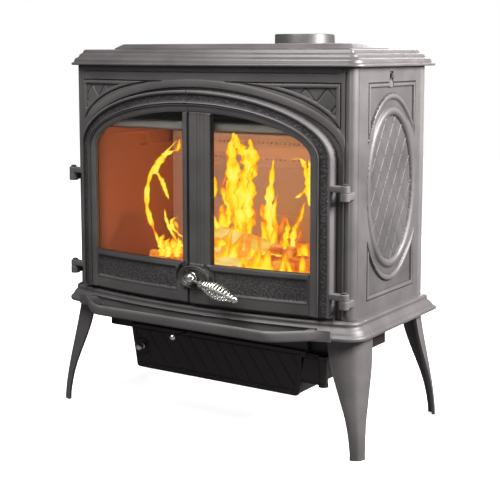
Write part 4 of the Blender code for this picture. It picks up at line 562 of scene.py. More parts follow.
# Side castings. Two flat plates bolted between the front and back castings. The sand mould
# leaves a beaded rectangle that is broken by two crescents, and a raised oval ring round a
# sunk field with a diamond lattice. The right one has the square pocket of the damper.
SIDE_FRONT, SIDE_BACK = -0.1468, 0.1442
PANEL = (-0.1068, 0.1182, 0.3127, 0.7700)
OVAL = (0.0057, 0.5435, 0.1150, 0.1715)
DAMPER, DAMPER_HALF = (-0.002, 0.783), 0.009
WEDGE_FOOT, WEDGE_TALL = 0.0260, 0.0170


def plate(front, low, high):
    """Points and faces of a closed plate: the front is a grid (columns, rows, 3), and the back is
    one straight strip between its low and its high line, so each column has a single back face."""
    columns, rows = front.shape[:2]
    spot = np.arange(columns * rows).reshape(columns, rows)
    under, over = columns * rows + np.arange(columns), columns * (rows + 1) + np.arange(columns)
    faces = np.stack([spot[:-1, :-1], spot[1:, :-1], spot[1:, 1:], spot[:-1, 1:]], -1).reshape(-1, 4).tolist()
    faces += np.stack([under[:-1], over[:-1], over[1:], under[1:]], 1).tolist()
    faces += np.stack([spot[:-1, 0], under[:-1], under[1:], spot[1:, 0]], 1).tolist()
    faces += np.stack([spot[:-1, -1], spot[1:, -1], over[1:], over[:-1]], 1).tolist()
    faces.append(spot[0].tolist() + [int(over[0]), int(under[0])])
    faces.append(spot[-1, ::-1].tolist() + [int(under[-1]), int(over[-1])])
    return np.concatenate([front.reshape(-1, 3), low, high]), faces


def rows_at(low, high, pitch, edges=()):
    """Places from low to high about a pitch apart, with three close together at each edge."""
    even = np.linspace(low, high, max(2, round((high - low) / pitch) + 1))
    close = np.concatenate([np.array([e - 0.0008, e, e + 0.0008]) for e in edges]) if edges else np.empty(0)
    close = close[(close > low) & (close < high)]
    far = np.ones(len(even), bool)
    if len(close):
        far = np.abs(even[:, None] - close[None, :]).min(axis=1) > 0.0009
    far[[0, -1]] = True
    return np.sort(np.concatenate([even[far], close]))


def oval_gap(a, b, half_a, half_b):
    """First order distance outside an ellipse: the level of its equation over the slope of that level."""
    level = np.square(a / half_a) + np.square(b / half_b) - 1
    return level / (2 * np.hypot(a / half_a**2, b / half_b**2) + 1e-9)


def side_relief(y, z, pocket):
    """How far a side's face stands out: corner fields inside a beaded rectangle and outside a large
    ellipse, a crescent bead just inside that ellipse, the oval ring, its lattice, and the pocket."""
    inside = np.minimum(np.minimum(y - PANEL[0], PANEL[1] - y), np.minimum(z - PANEL[2], PANEL[3] - z))
    a, b = y - OVAL[0], z - OVAL[1]
    large = oval_gap(a, b, 0.1330, 0.2010)
    ring = oval_gap(a, b, OVAL[2], OVAL[3])
    corner = (inside > 0) & (large > 0)
    frame_bead = -0.0042 * band(inside, 0.0, 0.0026, 0.0006) + 0.0014 * bead(inside, 0.0026, 0.0100)
    field = np.where(inside > 0.0100, -0.0034, 0.0)
    height = np.where(corner, np.where(inside > 0.0100, field, frame_bead), 0.0)
    height = np.where(corner & (large < 0.0014), np.minimum(height, -0.0042), height)
    middle = (inside > 0) & (large <= 0)
    share = np.clip(1 - np.abs(a) / 0.1120, 0.0, 1.0)
    wide = 0.0030 + 0.0080 * eased(share, 0.0, 0.45)
    crescent = 0.0026 * np.sqrt(np.clip(1 - np.square(2 * large / wide + 1), 0.0, 1.0))
    trough = -0.0028 * eased(-large - wide, -0.0006, 0.0012) * eased(ring, -0.0004, 0.0030)
    trough = trough * eased(np.abs(b), 0.105, 0.150)
    height = np.where(middle, np.where(-large < wide, crescent - 0.0004, 0.0) + trough, height)
    rolled = 0.0036 * bead(ring, -0.0170, 0.0) - 0.0022 * eased(-ring, 0.0085, 0.0170)
    height = np.where(ring <= 0, rolled, height)
    sunk = -0.0042 + 0.0011 * lattice(a, b, 1.67, 0.0688, (-0.0226, 0.0235), 0.0028)
    height = np.where(ring < -0.0170, sunk, height)
    if pocket:
        u, v = np.abs(y - DAMPER[0]), z - DAMPER[1]
        hole = (u < DAMPER_HALF) & (np.abs(v) < DAMPER_HALF)
        wedge = (u < DAMPER_HALF) & (v <= -DAMPER_HALF) & (v > -WEDGE_FOOT)
        height = np.where(hole, -0.0040, height)
        narrow = np.clip(1 - u / DAMPER_HALF * (-v - DAMPER_HALF) / WEDGE_TALL, 0.0, 1.0)
        height = np.where(wedge, -0.0030 * narrow * (v + WEDGE_FOOT) / WEDGE_TALL, height)
    return height


def face_centres(piece):
    """The middles of a piece's faces, as x, y and z."""
    centres = np.empty(3 * len(piece.data.polygons))
    piece.data.polygons.foreach_get("center", centres)
    return centres.reshape(-1, 3).T


# The sunk fields get a sandier enamel whose darker grey is painted shade in the recesses.
sandy_shaded_enamel = cast_enamel("sandy_enamel_painted_shade", colour=(0.096, 0.088, 0.089), grain=430.0, relief=0.0006)
for side, word in ((1, "right"), (-1, "left")):
    edges_y, edges_z = PANEL[:2], PANEL[2:]
    if side > 0:
        edges_y += (DAMPER[0] - DAMPER_HALF, DAMPER[0] + DAMPER_HALF)
        edges_z += (DAMPER[1] - DAMPER_HALF, DAMPER[1] + DAMPER_HALF)
    columns = rows_at(SIDE_FRONT, SIDE_BACK, 0.0016, edges_y)
    rows = rows_at(BODY_LOW, BODY_HIGH, 0.0018, edges_z)
    y, z = np.meshgrid(columns, rows, indexing="ij")
    x = side * (BODY_HALF[0] + side_relief(y, z, side > 0))
    back_x = np.full(len(columns), side * (BODY_HALF[0] - WALL))
    low = np.column_stack([back_x, columns, np.full(len(columns), BODY_LOW)])
    high = np.column_stack([back_x, columns, np.full(len(columns), BODY_HIGH)])
    name = f"side_panel_{word}"
    sheet = plate(np.stack([x, y, z], 2), low, high)
    casting = lay("side_casting_" + word, *sheet, enamel, stands_for=(name,))
    casting.data.materials.append(sandy_shaded_enamel)
    px = np.abs(face_centres(casting)[0])
    # Faces 2.4 to 4.5 mm below the face, the sunk fields, take the painted shade.
    sunk = (px < BODY_HALF[0] - 0.0024) & (px > BODY_HALF[0] - 0.0045)
    casting.data.polygons.foreach_set("material_index", sunk.astype(np.int32))


# Back casting. A plain plate with a return at each side and a hole for the flue outlet. It is
# cast like the sides and bolted through its returns, and its outside is enamelled too.
back_enamel = cast_enamel("back_enamel", grain=520.0, relief=0.0006, dull=0.06)


def refinish(finish, *nodes):
    """Gives CAD nodes whose shape is already right this finish, on their own material slots."""
    for node in nodes:
        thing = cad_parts[node]
        if not thing.material_slots:
            thing.data.materials.append(finish)
        for held in thing.material_slots:
            held.material = finish


refinish(back_enamel, "back_panel")


# Top plate. A heavy casting with an ogee edge of three rounded steps that runs round the front
# and sides. It rests on the four walls, hollow underneath, and its enamel is the smoothest.
def plan_ring(out_by, back, height, front=150, corner=16):
    """The body's whole plan grown by out_by as one ring: bow, corner arcs whose radius grows with
    it but is never under 2 mm, straight sides, and the back line at its own distance."""
    bow = np.linspace(-CORNER_ANGLE, CORNER_ANGLE, front)
    reach = BOW_RADIUS + out_by
    middle = np.stack([reach * np.sin(bow), BOW_CENTRE - reach * np.cos(bow)], 1)
    round_by = max(CORNER_RADIUS + out_by, 0.002)
    centre = (BODY_HALF[0] + out_by - round_by, CORNER_Y - (CORNER_RADIUS + out_by - round_by))
    turn = np.linspace(CORNER_ANGLE, math.pi / 2, corner)[1:]
    bend = np.stack([centre[0] + round_by * np.sin(turn), centre[1] - round_by * np.cos(turn)], 1)
    side = BODY_HALF[0] + out_by
    rear = BODY_HALF[1] + back
    line = np.linspace(centre[1], rear, 26)[1:]
    along = np.linspace(side, -side, 40)[1:-1]
    plan = np.concatenate([
        middle, bend, np.column_stack([np.full(25, side), line]),
        np.column_stack([along, np.full(38, rear)]),
        np.column_stack([np.full(25, -side), line[::-1]]), bend[::-1] * (-1, 1),
    ])
    return np.column_stack([plan, np.full(len(plan), height)])


top_edge = rounded([
    (0.0140, 0.8021), (0.0157, 0.8032), (0.0160, 0.8052), (0.0150, 0.8074), (0.0106, 0.8092),
    (0.0094, 0.8120), (0.0086, 0.8148), (0.0060, 0.8180), (0.0012, 0.8199), (-0.0018, 0.8228),
    (-0.0034, 0.8262), (-0.0072, 0.8290), (-0.0104, 0.8302), (-0.0118, 0.8334), (-0.0136, 0.8364),
    (-0.0175, 0.8379),
], 3)
profile = np.concatenate([[(-0.0255, 0.8221), (-0.0255, 0.8021)], top_edge])
rings = np.stack([plan_ring(o, 0.022 + o - 0.016 if o > -0.02 else -0.0255, h) for o, h in profile])
smooth_enamel = cast_enamel(
    "smooth_enamel", colour=shade(ENAMEL, 1.1), grain=800.0, relief=0.00018, dull=-0.06, metal=0.35
)
lay("moulded_top", rings, skin(rings), smooth_enamel, stands_for=("top_plate",), crease=28.0)


# Griddle. A loose raised lid on the top plate, cast with sloped edges and cut corners. It lifts
# off, and its edges, like every enamelled edge here, carry a painted highlight that is partly wear.
def griddle_ring(inset, height):
    """A rectangle of 644 by 200 mm less an inset, with its corners cut by 20 mm and slightly bowed."""
    x, y, cut = 0.322 - inset, 0.100 - inset, 0.020
    t = np.linspace(0.0, 1.0, 7)[:, None]
    bow = 0.0022 * np.sin(math.pi * t)
    start, end = np.array([(x, y - cut)]), np.array([(x - cut, y)])
    corner = start + (end - start) * t + bow * 0.7071
    plan = np.concatenate([corner, corner[::-1] * (-1, 1), corner * (-1, -1), corner[::-1] * (1, -1)])
    return np.column_stack([plan, np.full(len(plan), height)])


lid = rounded([(0.0006, 0.8384), (0.0, 0.8392), (0.0002, 0.8402), (0.0014, 0.8410), (0.0080, 0.8456),
               (0.0146, 0.8498), (0.0170, 0.8503), (0.0200, 0.8504)], 3)
rings = np.stack([griddle_ring(inset, height) for inset, height in lid])
lay("griddle_lid", rings, skin(rings), smooth_enamel, stands_for=("top_griddle",), crease=50.0)


# Flue outlet. A round-backed cast box on the back casting that turns the smoke upwards, with a
# turned collar on top that takes the flue pipe. The collar's lathe marks show through the paint.
FLUE_Y, FLUE_WELL = 0.2655, 0.068


def outlet_plan(front, half=0.084):
    """The outlet's outline from its right side round the back to its left side and along the front."""
    arc = np.linspace(0.0, math.pi, 49)
    back = np.stack([half * np.cos(arc), FLUE_Y + half * np.sin(arc)], 1)
    line = np.linspace(FLUE_Y, front, 13)[1:]
    along = np.linspace(-half, half, 25)[1:-1]
    return np.concatenate([
        back, np.column_stack([np.full(12, -half), line]), np.column_stack([along, np.full(23, front)]),
        np.column_stack([np.full(12, half), line[::-1]]),
    ])


def ring_at(plan, height):
    """The plan as a level ring of points at a height."""
    return np.column_stack([plan, np.full(len(plan), height)])


lower, upper = outlet_plan(0.1648), outlet_plan(0.1871)
way = np.arctan2(upper[:, 1] - FLUE_Y, upper[:, 0])
well = np.column_stack([FLUE_WELL * np.cos(way), FLUE_Y + FLUE_WELL * np.sin(way)])
soft = (upper - (0.0, FLUE_Y)) * 0.985 + (0.0, FLUE_Y)
rings = np.stack([
    ring_at(well, 0.700), ring_at(well, 0.816), ring_at(soft, 0.816), ring_at(upper, 0.8148),
    ring_at(upper, 0.8016), ring_at(lower, 0.8016), ring_at(lower, 0.690),
])
outlet = (rings, skin(rings))
wall = [
    (0.0, 0.0682), (0.0, 0.0750), (0.0575, 0.0748), (0.0592, 0.0743), (0.0600, 0.0732), (0.0600, 0.0700),
    (0.0592, 0.0684),
]
collar = np.stack([turn_about((0, FLUE_Y, 0.8160), (0, 0, 1), [spot], 96)[0] for spot in wall])
collar_faces = skin(collar, capped=False)
lay("flue_elbow", *outlet, back_enamel, stands_for=("flue_outlet",))


def turned_iron(name, colour, rings_apart=0.0016):
    """Machined iron under thin paint: fine level rings from a wave along Z, a broad soft tone, and
    roughness that follows the same rings."""
    made, tree, shader, place = new_finish(name)
    scale = 0.32 / rings_apart
    lathe = add_node(tree, "ShaderNodeTexWave", Vector=place, Scale=scale, Distortion=1.2, Detail=2.0)
    lathe.bands_direction = "Z"
    fine, cloud = (lathe, "Fac"), noise(tree, place, 14.0, 4.0)
    tone = ramp(tree, cloud, ((0.3, shade(colour, 0.85)), (0.7, shade(colour, 1.15))))
    gloss = ramp(tree, fine, ((0.0, 0.36), (1.0, 0.46)))
    surface(tree, shader, tone, gloss, fine, 0.0002, 0.35, 0.45)
    return made


lay("flue_collar", collar, collar_faces, turned_iron("turned_collar", (0.110, 0.102, 0.102)))


# Doors. Two bowed castings that meet left of the handle. A moulded border of a bead, a hammered
# band and two thin beads follows the arch, and the rail below the glass has a sunk pebbled
# panel. The right one has the wide ridged stile. Their lugs stand on the body's.
DOOR_GAP, DOOR_BACK, DOOR_FACE, FIT_GAP = 0.0008, 0.004, 0.014, 0.0003
GLASS_INSET, GLASS_SILL = 0.046, 0.378
STILES = {1: 0.058, -1: 0.016}
PANEL_ROWS = (0.317, 0.366)
RAIL_NEAR, RAIL_FAR = {1: 0.062, -1: 0.036}, 0.280
HANDLE, PLATE_HALF = (0.016, 0.348), (0.040, 0.026)


def closed_sheet(front, back, faces):
    """A closed body from a sheet and its back, which have the same faces: the back's are turned
    over, and every edge that only one face uses gets a wall."""
    faces = np.asarray(faces)
    ends = np.concatenate([faces[:, [k, (k + 1) % faces.shape[1]]] for k in range(faces.shape[1])])
    key = np.sort(ends, axis=1)
    key = key[:, 0] * (faces.max() + 1) + key[:, 1]
    _, first, uses = np.unique(key, return_index=True, return_counts=True)
    rim = ends[first[uses == 1]]
    count = len(front)
    walls = np.stack([rim[:, 1], rim[:, 0], rim[:, 0] + count, rim[:, 1] + count], axis=1)
    return np.concatenate([front, back]), np.concatenate([faces, faces[:, ::-1] + count, walls]).tolist()


def border_height(i):
    """Height of a door's border, i inside its outline: outer bead, hammered hollow, two thin beads,
    and a quarter round that falls to the glass."""
    height = 0.0162 - 0.0006 * bead(i, 0.007, 0.024)
    height = height + 0.0058 * np.sqrt(bead(i, -0.0006, 0.0072)) * (i < 0.0072)
    height = height + 0.0058 * bead(i, 0.0240, 0.0280) + 0.0046 * bead(i, 0.0286, 0.0312)
    fall = 0.0050 * (1 - np.sqrt(np.clip(1 - np.square(np.clip((i - 0.0318) / 0.0150, 0, 1)), 0, 1)))
    return np.where(i > 0.0312, 0.0162 - fall, height)


def rail_height(side, x, z):
    """Height of the rail and the stile: flat, with the sunk panel, the recess round the handle's
    plate, a thin bead under the glass and, on the right, the stile's ridges."""
    from_sides = np.minimum(x - RAIL_NEAR[side], RAIL_FAR - x)
    inside = np.minimum(from_sides, np.minimum(z - PANEL_ROWS[0], PANEL_ROWS[1] - z))
    height = DOOR_FACE - 0.0046 * eased(inside, 0.0, 0.0014) + 0.0008 * bead(inside, -0.0036, -0.0004)
    height = height + 0.0008 * bead(z, 0.3695, 0.3770) - 0.0008 * eased(z, 0.3772, 0.3780)
    if side > 0:
        stile = 1 - eased(x, 0.0565, 0.0590)
        steps = ((0.022, 0.004), (0.030, 0.008), (0.0405, 0.006))
        ridges = 0.0010 * sum(bead(x, low, low + wide) for low, wide in steps)
        groove = 0.0008 * (1 - eased(np.abs(x - 0.0285), 0.0005, 0.0012))
        ridges = ridges - 0.0008 * eased(x, 0.0475, 0.0560) - groove
        height = height + 0.0026 * stile + ridges * stile * eased(z, 0.366, 0.380)
    else:
        height = height + 0.0008 * bead(x, 0.0015, 0.0065) * eased(z, 0.366, 0.380)
    around = oval_gap(side * x - HANDLE[0], z - HANDLE[1], *PLATE_HALF)
    crescent = band(around, 0.0, 0.0085, 0.0010) * eased(np.abs(side * x - HANDLE[0]), 0.022, 0.032)
    meeting = 0.0070 * (1 - eased(x, 0.0012, 0.0034))
    return height - 0.0075 * crescent * (np.abs(z - HANDLE[1]) < 0.030) - meeting


def door_sheet(side):
    """Every point of a door's face as (x, z, height) and its quads: the border along the outline,
    the rail below the glass and the stile, which share the points of their common edges."""
    stile = STILES[side]
    inset = rows_at(0.0, GLASS_INSET, 0.0013, (0.007, 0.024, 0.0283, 0.0315))
    rail_rows = rows_at(DOOR_LOW, GLASS_SILL, 0.0015, PANEL_ROWS)
    stile_x = rows_at(DOOR_GAP, stile, 0.0013)
    rail_x = np.concatenate([stile_x, rows_at(stile, DOOR_HALF - GLASS_INSET, 0.0016, (RAIL_FAR,))[1:]])
    inner = DOOR_HALF - GLASS_INSET
    angle = np.linspace(0.0, math.acos(stile / inner), 110)[:-1]
    angle = np.concatenate([angle, np.arccos(stile_x[::-1] / inner)])
    upright = np.concatenate([rail_rows, np.linspace(GLASS_SILL, SPRING, 90)[1:-1]])
    i = inset[None, :]
    straight = np.stack(np.broadcast_arrays(DOOR_HALF - i, upright[:, None]), 2)
    bent_x, bent_z = (DOOR_HALF - i) * np.cos(angle)[:, None], (DOOR_RISE - i) * np.sin(angle)[:, None]
    border = np.concatenate([straight, np.stack([bent_x, SPRING + bent_z], 2)])
    border = np.dstack([border, np.broadcast_to(border_height(i), border.shape[:2])])
    x, z = np.meshgrid(rail_x, rail_rows, indexing="ij")
    rail = np.stack([x, z, rail_height(side, x, z)], 2)
    top = SPRING + (DOOR_RISE - GLASS_INSET) * np.sqrt(1 - np.square(stile_x / inner))
    share = np.linspace(0.0, 1.0, 130)[None, :]
    x = np.broadcast_to(stile_x[:, None], (len(stile_x), 130))
    z = GLASS_SILL + (top[:, None] - GLASS_SILL) * share
    post = np.stack([x, z, rail_height(side, x, z)], 2)
    post[:, -1, 2] = border_height(GLASS_INSET)
    rail[-1, :, 2] = border_height(GLASS_INSET)
    points, faces = several([(border, net(border, True)), (rail, net(rail)), (post, net(post))])
    _, first, back = np.unique(np.round(points[:, :2], 6), axis=0, return_index=True, return_inverse=True)
    return points[first], back.reshape(-1)[np.asarray(faces)]


def bowed(side, x, z, out_by):
    """Points on the bow of the front, out_by in front of the body's face."""
    return np.column_stack([side * x, front_y(x, out_by), z])


# The hammered band's darker grey is painted shade, standing for the shade on an inward slope.
hammered = cast_enamel(
    "hammered_enamel_painted_shade", colour=shade(ENAMEL, 0.62), pebble=0.0052, dull=0.02, grain=500.0
)
pebbled = cast_enamel(
    "pebbled_enamel", colour=shade(ENAMEL, 0.80), pebble=0.0040, dull=-0.02, grain=700.0
)
for side, word in ((1, "right"), (-1, "left")):
    sheet, faces = door_sheet(side)
    x, z, height = sheet.T
    front = bowed(side, x, z, height)
    back = bowed(side, x, z, np.full(len(x), DOOR_BACK))
    leaf = lay(
        f"arched_door_{word}", *closed_sheet(front, back, faces), enamel, body=f"{word}_door",
        stands_for=(f"{word}_door",)
    )
    leaf.data.materials.append(hammered)
    leaf.data.materials.append(pebbled)
    px, py, pz = face_centres(leaf)
    out_by = np.hypot(px, BOW_CENTRE + BODY_Y - py) - BOW_RADIUS
    swell = oval_gap(px, pz - SPRING, DOOR_HALF, DOOR_RISE)
    edge = np.where(pz > SPRING, -swell, DOOR_HALF - np.abs(px))
    which = np.where((edge > 0.0078) & (edge < 0.0232) & (out_by > 0.012), 1, 0)
    in_rows = (pz > PANEL_ROWS[0] + 0.001) & (pz < PANEL_ROWS[1] - 0.001) & (out_by > 0.006)
    in_panel = in_rows & (px * side > RAIL_NEAR[side] + 0.001) & (px * side < RAIL_FAR - 0.001)
    leaf.data.polygons.foreach_set("material_index", np.where(in_panel, 2, which).astype(np.int32))
    shells = []
    for top in LUG_TOPS:
        low = top + FIT_GAP
        shells.append(lug(side * HINGE_X, HINGE_Y, low, low + 0.0140, 0.0100))
        ends = np.sort([side * (DOOR_HALF - 0.004), side * HINGE_X])
        near, far = (ends[0], HINGE_Y - 0.0085, low + 0.0004), (ends[1], HINGE_Y + 0.0070, low + 0.0136)
        arm = block(near, far, 0.0022)
        shells.append((arm, skin(arm)))
    lay(f"door_lugs_{word}", *several(shells), enamel, body=f"{word}_door")


# Hinge pins. Four steel pins with a low domed head, dropped through a door lug into the lug of
# the body below it. They lift out to take a door off.
def satin_metal(name, colour, rough=0.30, scratch=260.0, metallic=1.0):
    """Bare machined metal: a colour with a faint cloud, and fine drawn scratches in the roughness
    and the normal from a noise stretched along X."""
    made, tree, shader, place = new_finish(name)
    spread = add_node(tree, "ShaderNodeMapping", Vector=place)
    feed(tree, (0.15, 1.0, 1.0), spread, "Scale")
    fine, cloud = noise(tree, (spread, "Vector"), scratch, 4.0), noise(tree, place, 22.0, 3.0)
    tone = ramp(tree, cloud, ((0.3, shade(colour, 0.82)), (0.7, shade(colour, 1.05))))
    gloss = ramp(tree, fine, ((0.35, rough - 0.06), (0.65, rough + 0.08)))
    surface(tree, shader, tone, gloss, fine, 0.00008, 0.4, metallic)
    return made


steel = satin_metal("bare_steel", (0.34, 0.33, 0.32), rough=0.38)
black_steel = satin_metal("black_steel", (0.040, 0.038, 0.038), rough=0.46, metallic=0.3)
PIN_SEAT = 0.0150
dark_pin = satin_metal("dark_pin_steel", (0.10, 0.095, 0.095), rough=0.40, metallic=0.7)
for side, word in ((1, "right"), (-1, "left")):
    for top, place in zip(LUG_TOPS, ("lower", "upper")):
        head = top + FIT_GAP + PIN_SEAT + FIT_GAP
        low = top - LUG_TALL
        shank = head - low
        profile = [(0.0, 0.0), (0.0, 0.0026), (0.0016, 0.0038), (shank, 0.0038), (shank, 0.0062),
                   (shank + 0.0012, 0.0065), (shank + 0.0024, 0.0054), (shank + 0.0030, 0.0030),
                   (shank + 0.0030, 0.0)]
        name = f"hinge_pin_{word}_{place}"
        spots = turned_shell((side * HINGE_X, HINGE_Y, low), (0, 0, 1), profile, 32)
        lay("dropped_" + name, *spots, dark_pin, part="steel", stands_for=(name,), crease=50.0)


# Door glass. Two bowed panes of clear ceramic glass, four millimetres thick, in a seat behind
# each door. Smoke leaves a faint brown haze on them.
def stove_glass(name):
    """Ceramic glass: full transmission with a faint amber tint that noise deepens, thin streaks of
    haze in the roughness."""
    made, tree, shader, place = new_finish(name)
    haze = noise(tree, place, 7.0, 5.0)
    tint = ramp(tree, haze, ((0.35, (1.0, 0.98, 0.95)), (0.75, (0.95, 0.90, 0.84))))
    feed(tree, tint, shader, "Base Color")
    feed(tree, ramp(tree, haze, ((0.40, 0.0), (0.80, 0.045))), shader, "Roughness")
    feed(tree, 1.0, shader, "Transmission Weight")
    feed(tree, 1.18, shader, "IOR")
    return made


clear = stove_glass("clear_ceramic_glass")
refinish(clear, "right_glass", "left_glass")
refinish(black_steel, "right_glass_retainer", "left_glass_retainer")


# Door ropes. A braided glass-fibre rope is glued in a groove round the back of each door and
# seals it against the front casting. It shows as a pale strip only when a door is open.
def rope_weave(name):
    """Braided fibre: a fine diagonal wave over a pale grey, with painted shade that darkens the grooves
    between the strands.
    """
    made, tree, shader, place = new_finish(name)
    plait = add_node(tree, "ShaderNodeTexWave", Vector=place, Scale=90.0, Distortion=2.5, Detail=2.0)
    plait.bands_direction = "DIAGONAL"
    # Painted shade: the wave's low end darkens the grooves between the strands.
    stops = ((0.0, (0.10, 0.095, 0.085)), (0.6, (0.42, 0.40, 0.36)), (1.0, (0.52, 0.50, 0.46)))
    tone = ramp(tree, (plait, "Fac"), stops)
    rough = ramp(tree, noise(tree, place, 30.0), ((0.3, 0.85), (0.7, 0.95)))
    surface(tree, shader, tone, rough, (plait, "Fac"), 0.0006, 0.8)
    return made


def rope_path(side, inset, start=0.0032):
    """The rope's centre line, inset inside the door's outline: down the arch from the meeting edge,
    down the side, and along the bottom back to the meeting edge."""
    angle = np.linspace(math.acos(start / (DOOR_HALF - inset)), 0.0, 90)
    arch = np.stack([(DOOR_HALF - inset) * np.cos(angle), SPRING + (DOOR_RISE - inset) * np.sin(angle)], 1)
    down = np.stack(
        [np.full(60, DOOR_HALF - inset), np.linspace(SPRING, DOOR_LOW + inset + 0.002, 61)[1:]], 1
    )
    turn = np.linspace(0.0, math.pi / 2, 7)[1:]
    bend = np.stack(
        [DOOR_HALF - inset - 0.002 + 0.002 * np.cos(turn), DOOR_LOW + inset + 0.002 - 0.002 * np.sin(turn)], 1
    )
    along = np.stack(
        [np.linspace(DOOR_HALF - inset - 0.002, start, 70)[1:], np.full(69, DOOR_LOW + inset)], 1
    )
    return np.concatenate([arch, down, bend, along]) * (side, 1)


weave = rope_weave("braided_rope")
for side, word in ((1, "right"), (-1, "left")):
    line = rope_path(side, 0.0105)
    step = np.gradient(line, axis=0)
    step /= np.linalg.norm(step, axis=1)[:, None]
    turn = full_turn(12)
    across = 0.0045 * np.cos(turn)
    out_by = 0.0020 + 0.0016 * np.sin(turn)
    x = line[:, 0:1] - step[:, 1:2] * across
    z = line[:, 1:2] + step[:, 0:1] * across
    rings = np.stack([x, front_y(x, np.broadcast_to(out_by, x.shape)), z], 2)
    name = f"{word}_door_rope"
    lay("braid_" + name, rings, skin(rings), weave, body=f"{word}_door", part="seal_rope", stands_for=(name,))


# Handle plate. An oval casting round the spindle, one half on each door, with a rounded rim, a
# thin second ring and a dished middle. Each half is screwed on from behind.
def slab(front, back):
    """Points and faces of a closed body between two grids of points, (columns, rows, 3) each."""
    return closed_sheet(front.reshape(-1, 3), back.reshape(-1, 3), net(front))


def handle_plate(side):
    """The half on one side of the meeting line: columns by the oval's angle, heights by the
    distance inside the oval."""
    cut = math.acos((side * DOOR_GAP - HANDLE[0]) / PLATE_HALF[0])
    angle = np.linspace(0.0, cut, 90) if side > 0 else np.linspace(cut, math.pi, 60)
    share = np.sin(np.linspace(-math.pi / 2, math.pi / 2, 64))
    x = HANDLE[0] + PLATE_HALF[0] * np.cos(angle)[:, None] + 0 * share[None, :]
    z = HANDLE[1] + PLATE_HALF[1] * np.sin(angle)[:, None] * share[None, :]
    d = -oval_gap(x - HANDLE[0], z - HANDLE[1], *PLATE_HALF)
    height = 0.0203 + 0.0019 * bead(d, -0.0004, 0.0052) * (d < 0.0052)
    height = height + 0.0012 * bead(d, 0.0060, 0.0100) - 0.0022 * eased(d, 0.0100, 0.0155)
    height = height - 0.0016 * eased(0.0012 - d, 0.0, 0.0012)
    base = 0.0174 if side > 0 else 0.0144
    return slab(np.stack([x, front_y(x, height), z], 2), np.stack([x, front_y(x, base), z], 2))


dark_enamel = cast_enamel(
    "dark_enamel", colour=shade(ENAMEL, 0.62), grain=700.0, relief=0.0002, dull=-0.06
)
for side, word in ((1, "right"), (-1, "left")):
    name = f"handle_plate_{word}"
    lay("oval_" + name, *handle_plate(side), dark_enamel,
        body=f"{word}_door", stands_for=(name,), crease=50.0)


# Door handle. A nickel-plated spindle with a domed hub passes through the stile. A thin rod goes
# through the hub, with a collar, a spring-wire grip wound round it that stays cool, and a small
# round end knob. Inside, a steel cam on the spindle catches behind the left stile.
ROD_LENGTH, HUB_LENGTH = 0.139, 0.020
CAM_THICKNESS, SHAFT_END = 0.005, 0.006
drop, lean = math.radians(13.0), math.radians(6.0)
rod_way = np.array([math.cos(lean) * math.cos(drop), -math.sin(lean), -math.cos(lean) * math.sin(drop)])
plate_y = float(front_y(HANDLE[0], 0.0223))
rod_from = np.array([HANDLE[0], plate_y - FIT_GAP - 0.6 * HUB_LENGTH, HANDLE[1]])
nickel = satin_metal("nickel_plate", (0.96, 0.94, 0.90), rough=0.22, scratch=340.0)


def dome(start, length, radius, first=0.50, steps=12):
    """Profile of a low dome: (distance, radius) from a straight wall of the given share of length
    along a quarter ellipse to the axis."""
    turn = np.linspace(0.0, math.pi / 2, steps)
    along = start + length * (first + (1 - first) * np.sin(turn))
    return list(zip(along, radius * np.cos(turn)))


inner_end = float(front_y(HANDLE[0], DOOR_BACK)) + FIT_GAP + CAM_THICKNESS + SHAFT_END
shaft = inner_end - (plate_y - FIT_GAP)
profile = [(0.0, 0.0), (0.0, 0.0050), (0.001, 0.0060), (shaft, 0.0060), (shaft, 0.0110),
           (shaft + 0.0008, 0.0119), (shaft + 0.0022, 0.0119), (shaft + 0.0028, 0.0112),
           (shaft + 0.0034, 0.0114)]
profile += dome(shaft, HUB_LENGTH, 0.0116)
lay("domed_hub", *turned_shell((HANDLE[0], inner_end, HANDLE[1]), (0, -1, 0), profile, 56), nickel,
    body="door_handle", part="nickel", stands_for=("handle_spindle",))
profile = [(-0.014, 0.0), (-0.014, 0.0022), (-0.0134, 0.0031), (-0.0125, 0.0034), (0.030, 0.0034),
           (0.031, 0.0046), (0.032, 0.0082), (0.0328, 0.0093), (0.0345, 0.0095), (0.0354, 0.0090),
           (0.0360, 0.0074), (0.0360, 0.0034), (ROD_LENGTH - 0.006, 0.0034), (ROD_LENGTH - 0.006, 0.0)]
lay("handle_bar", *turned_shell(rod_from, rod_way, profile, 32), nickel,
    body="door_handle", part="nickel", stands_for=("handle_rod",))
profile = [(0.0, 0.0), (0.0, 0.0052), (0.0006, 0.0066), (0.0020, 0.0070), (0.0026, 0.0062)]
turn = np.linspace(0.22, 1.0, 16) * math.pi
whole = 1 - math.cos(0.78 * math.pi)
profile += [
    (0.0026 + 0.0094 * (1 - math.cos(a - 0.22 * math.pi)) / whole, 0.0084 * math.sin(a))
    for a in turn[:-1]
]
profile += [(0.0120, 0.0)]
lay("handle_tip", *turned_shell(rod_from + rod_way * (ROD_LENGTH - 0.012), rod_way, profile, 40), nickel,
    body="door_handle", part="nickel", stands_for=("handle_end_knob",))


def spring_path(turns=11, per_turn=30):
    """Centre line of the wound grip, with its unit spokes: an even helix round the rod whose radius
    swells from 7.2 mm at the ends by 9.5 mm times sin^1.3 of its share along the rod."""
    angle = np.linspace(0.0, 2 * math.pi * turns, turns * per_turn + 1)
    share = angle / angle[-1]
    first, last = 0.0382, ROD_LENGTH - 0.0142
    radius = 0.0072 + 0.0095 * np.sin(math.pi * share) ** 1.3
    across = np.cross(rod_way, (0.0, 0.0, 1.0))
    across /= np.linalg.norm(across)
    third = np.cross(rod_way, across)
    spoke = np.cos(angle)[:, None] * across + np.sin(angle)[:, None] * third
    return rod_from + rod_way * (first + (last - first) * share)[:, None] + spoke * radius[:, None], spoke


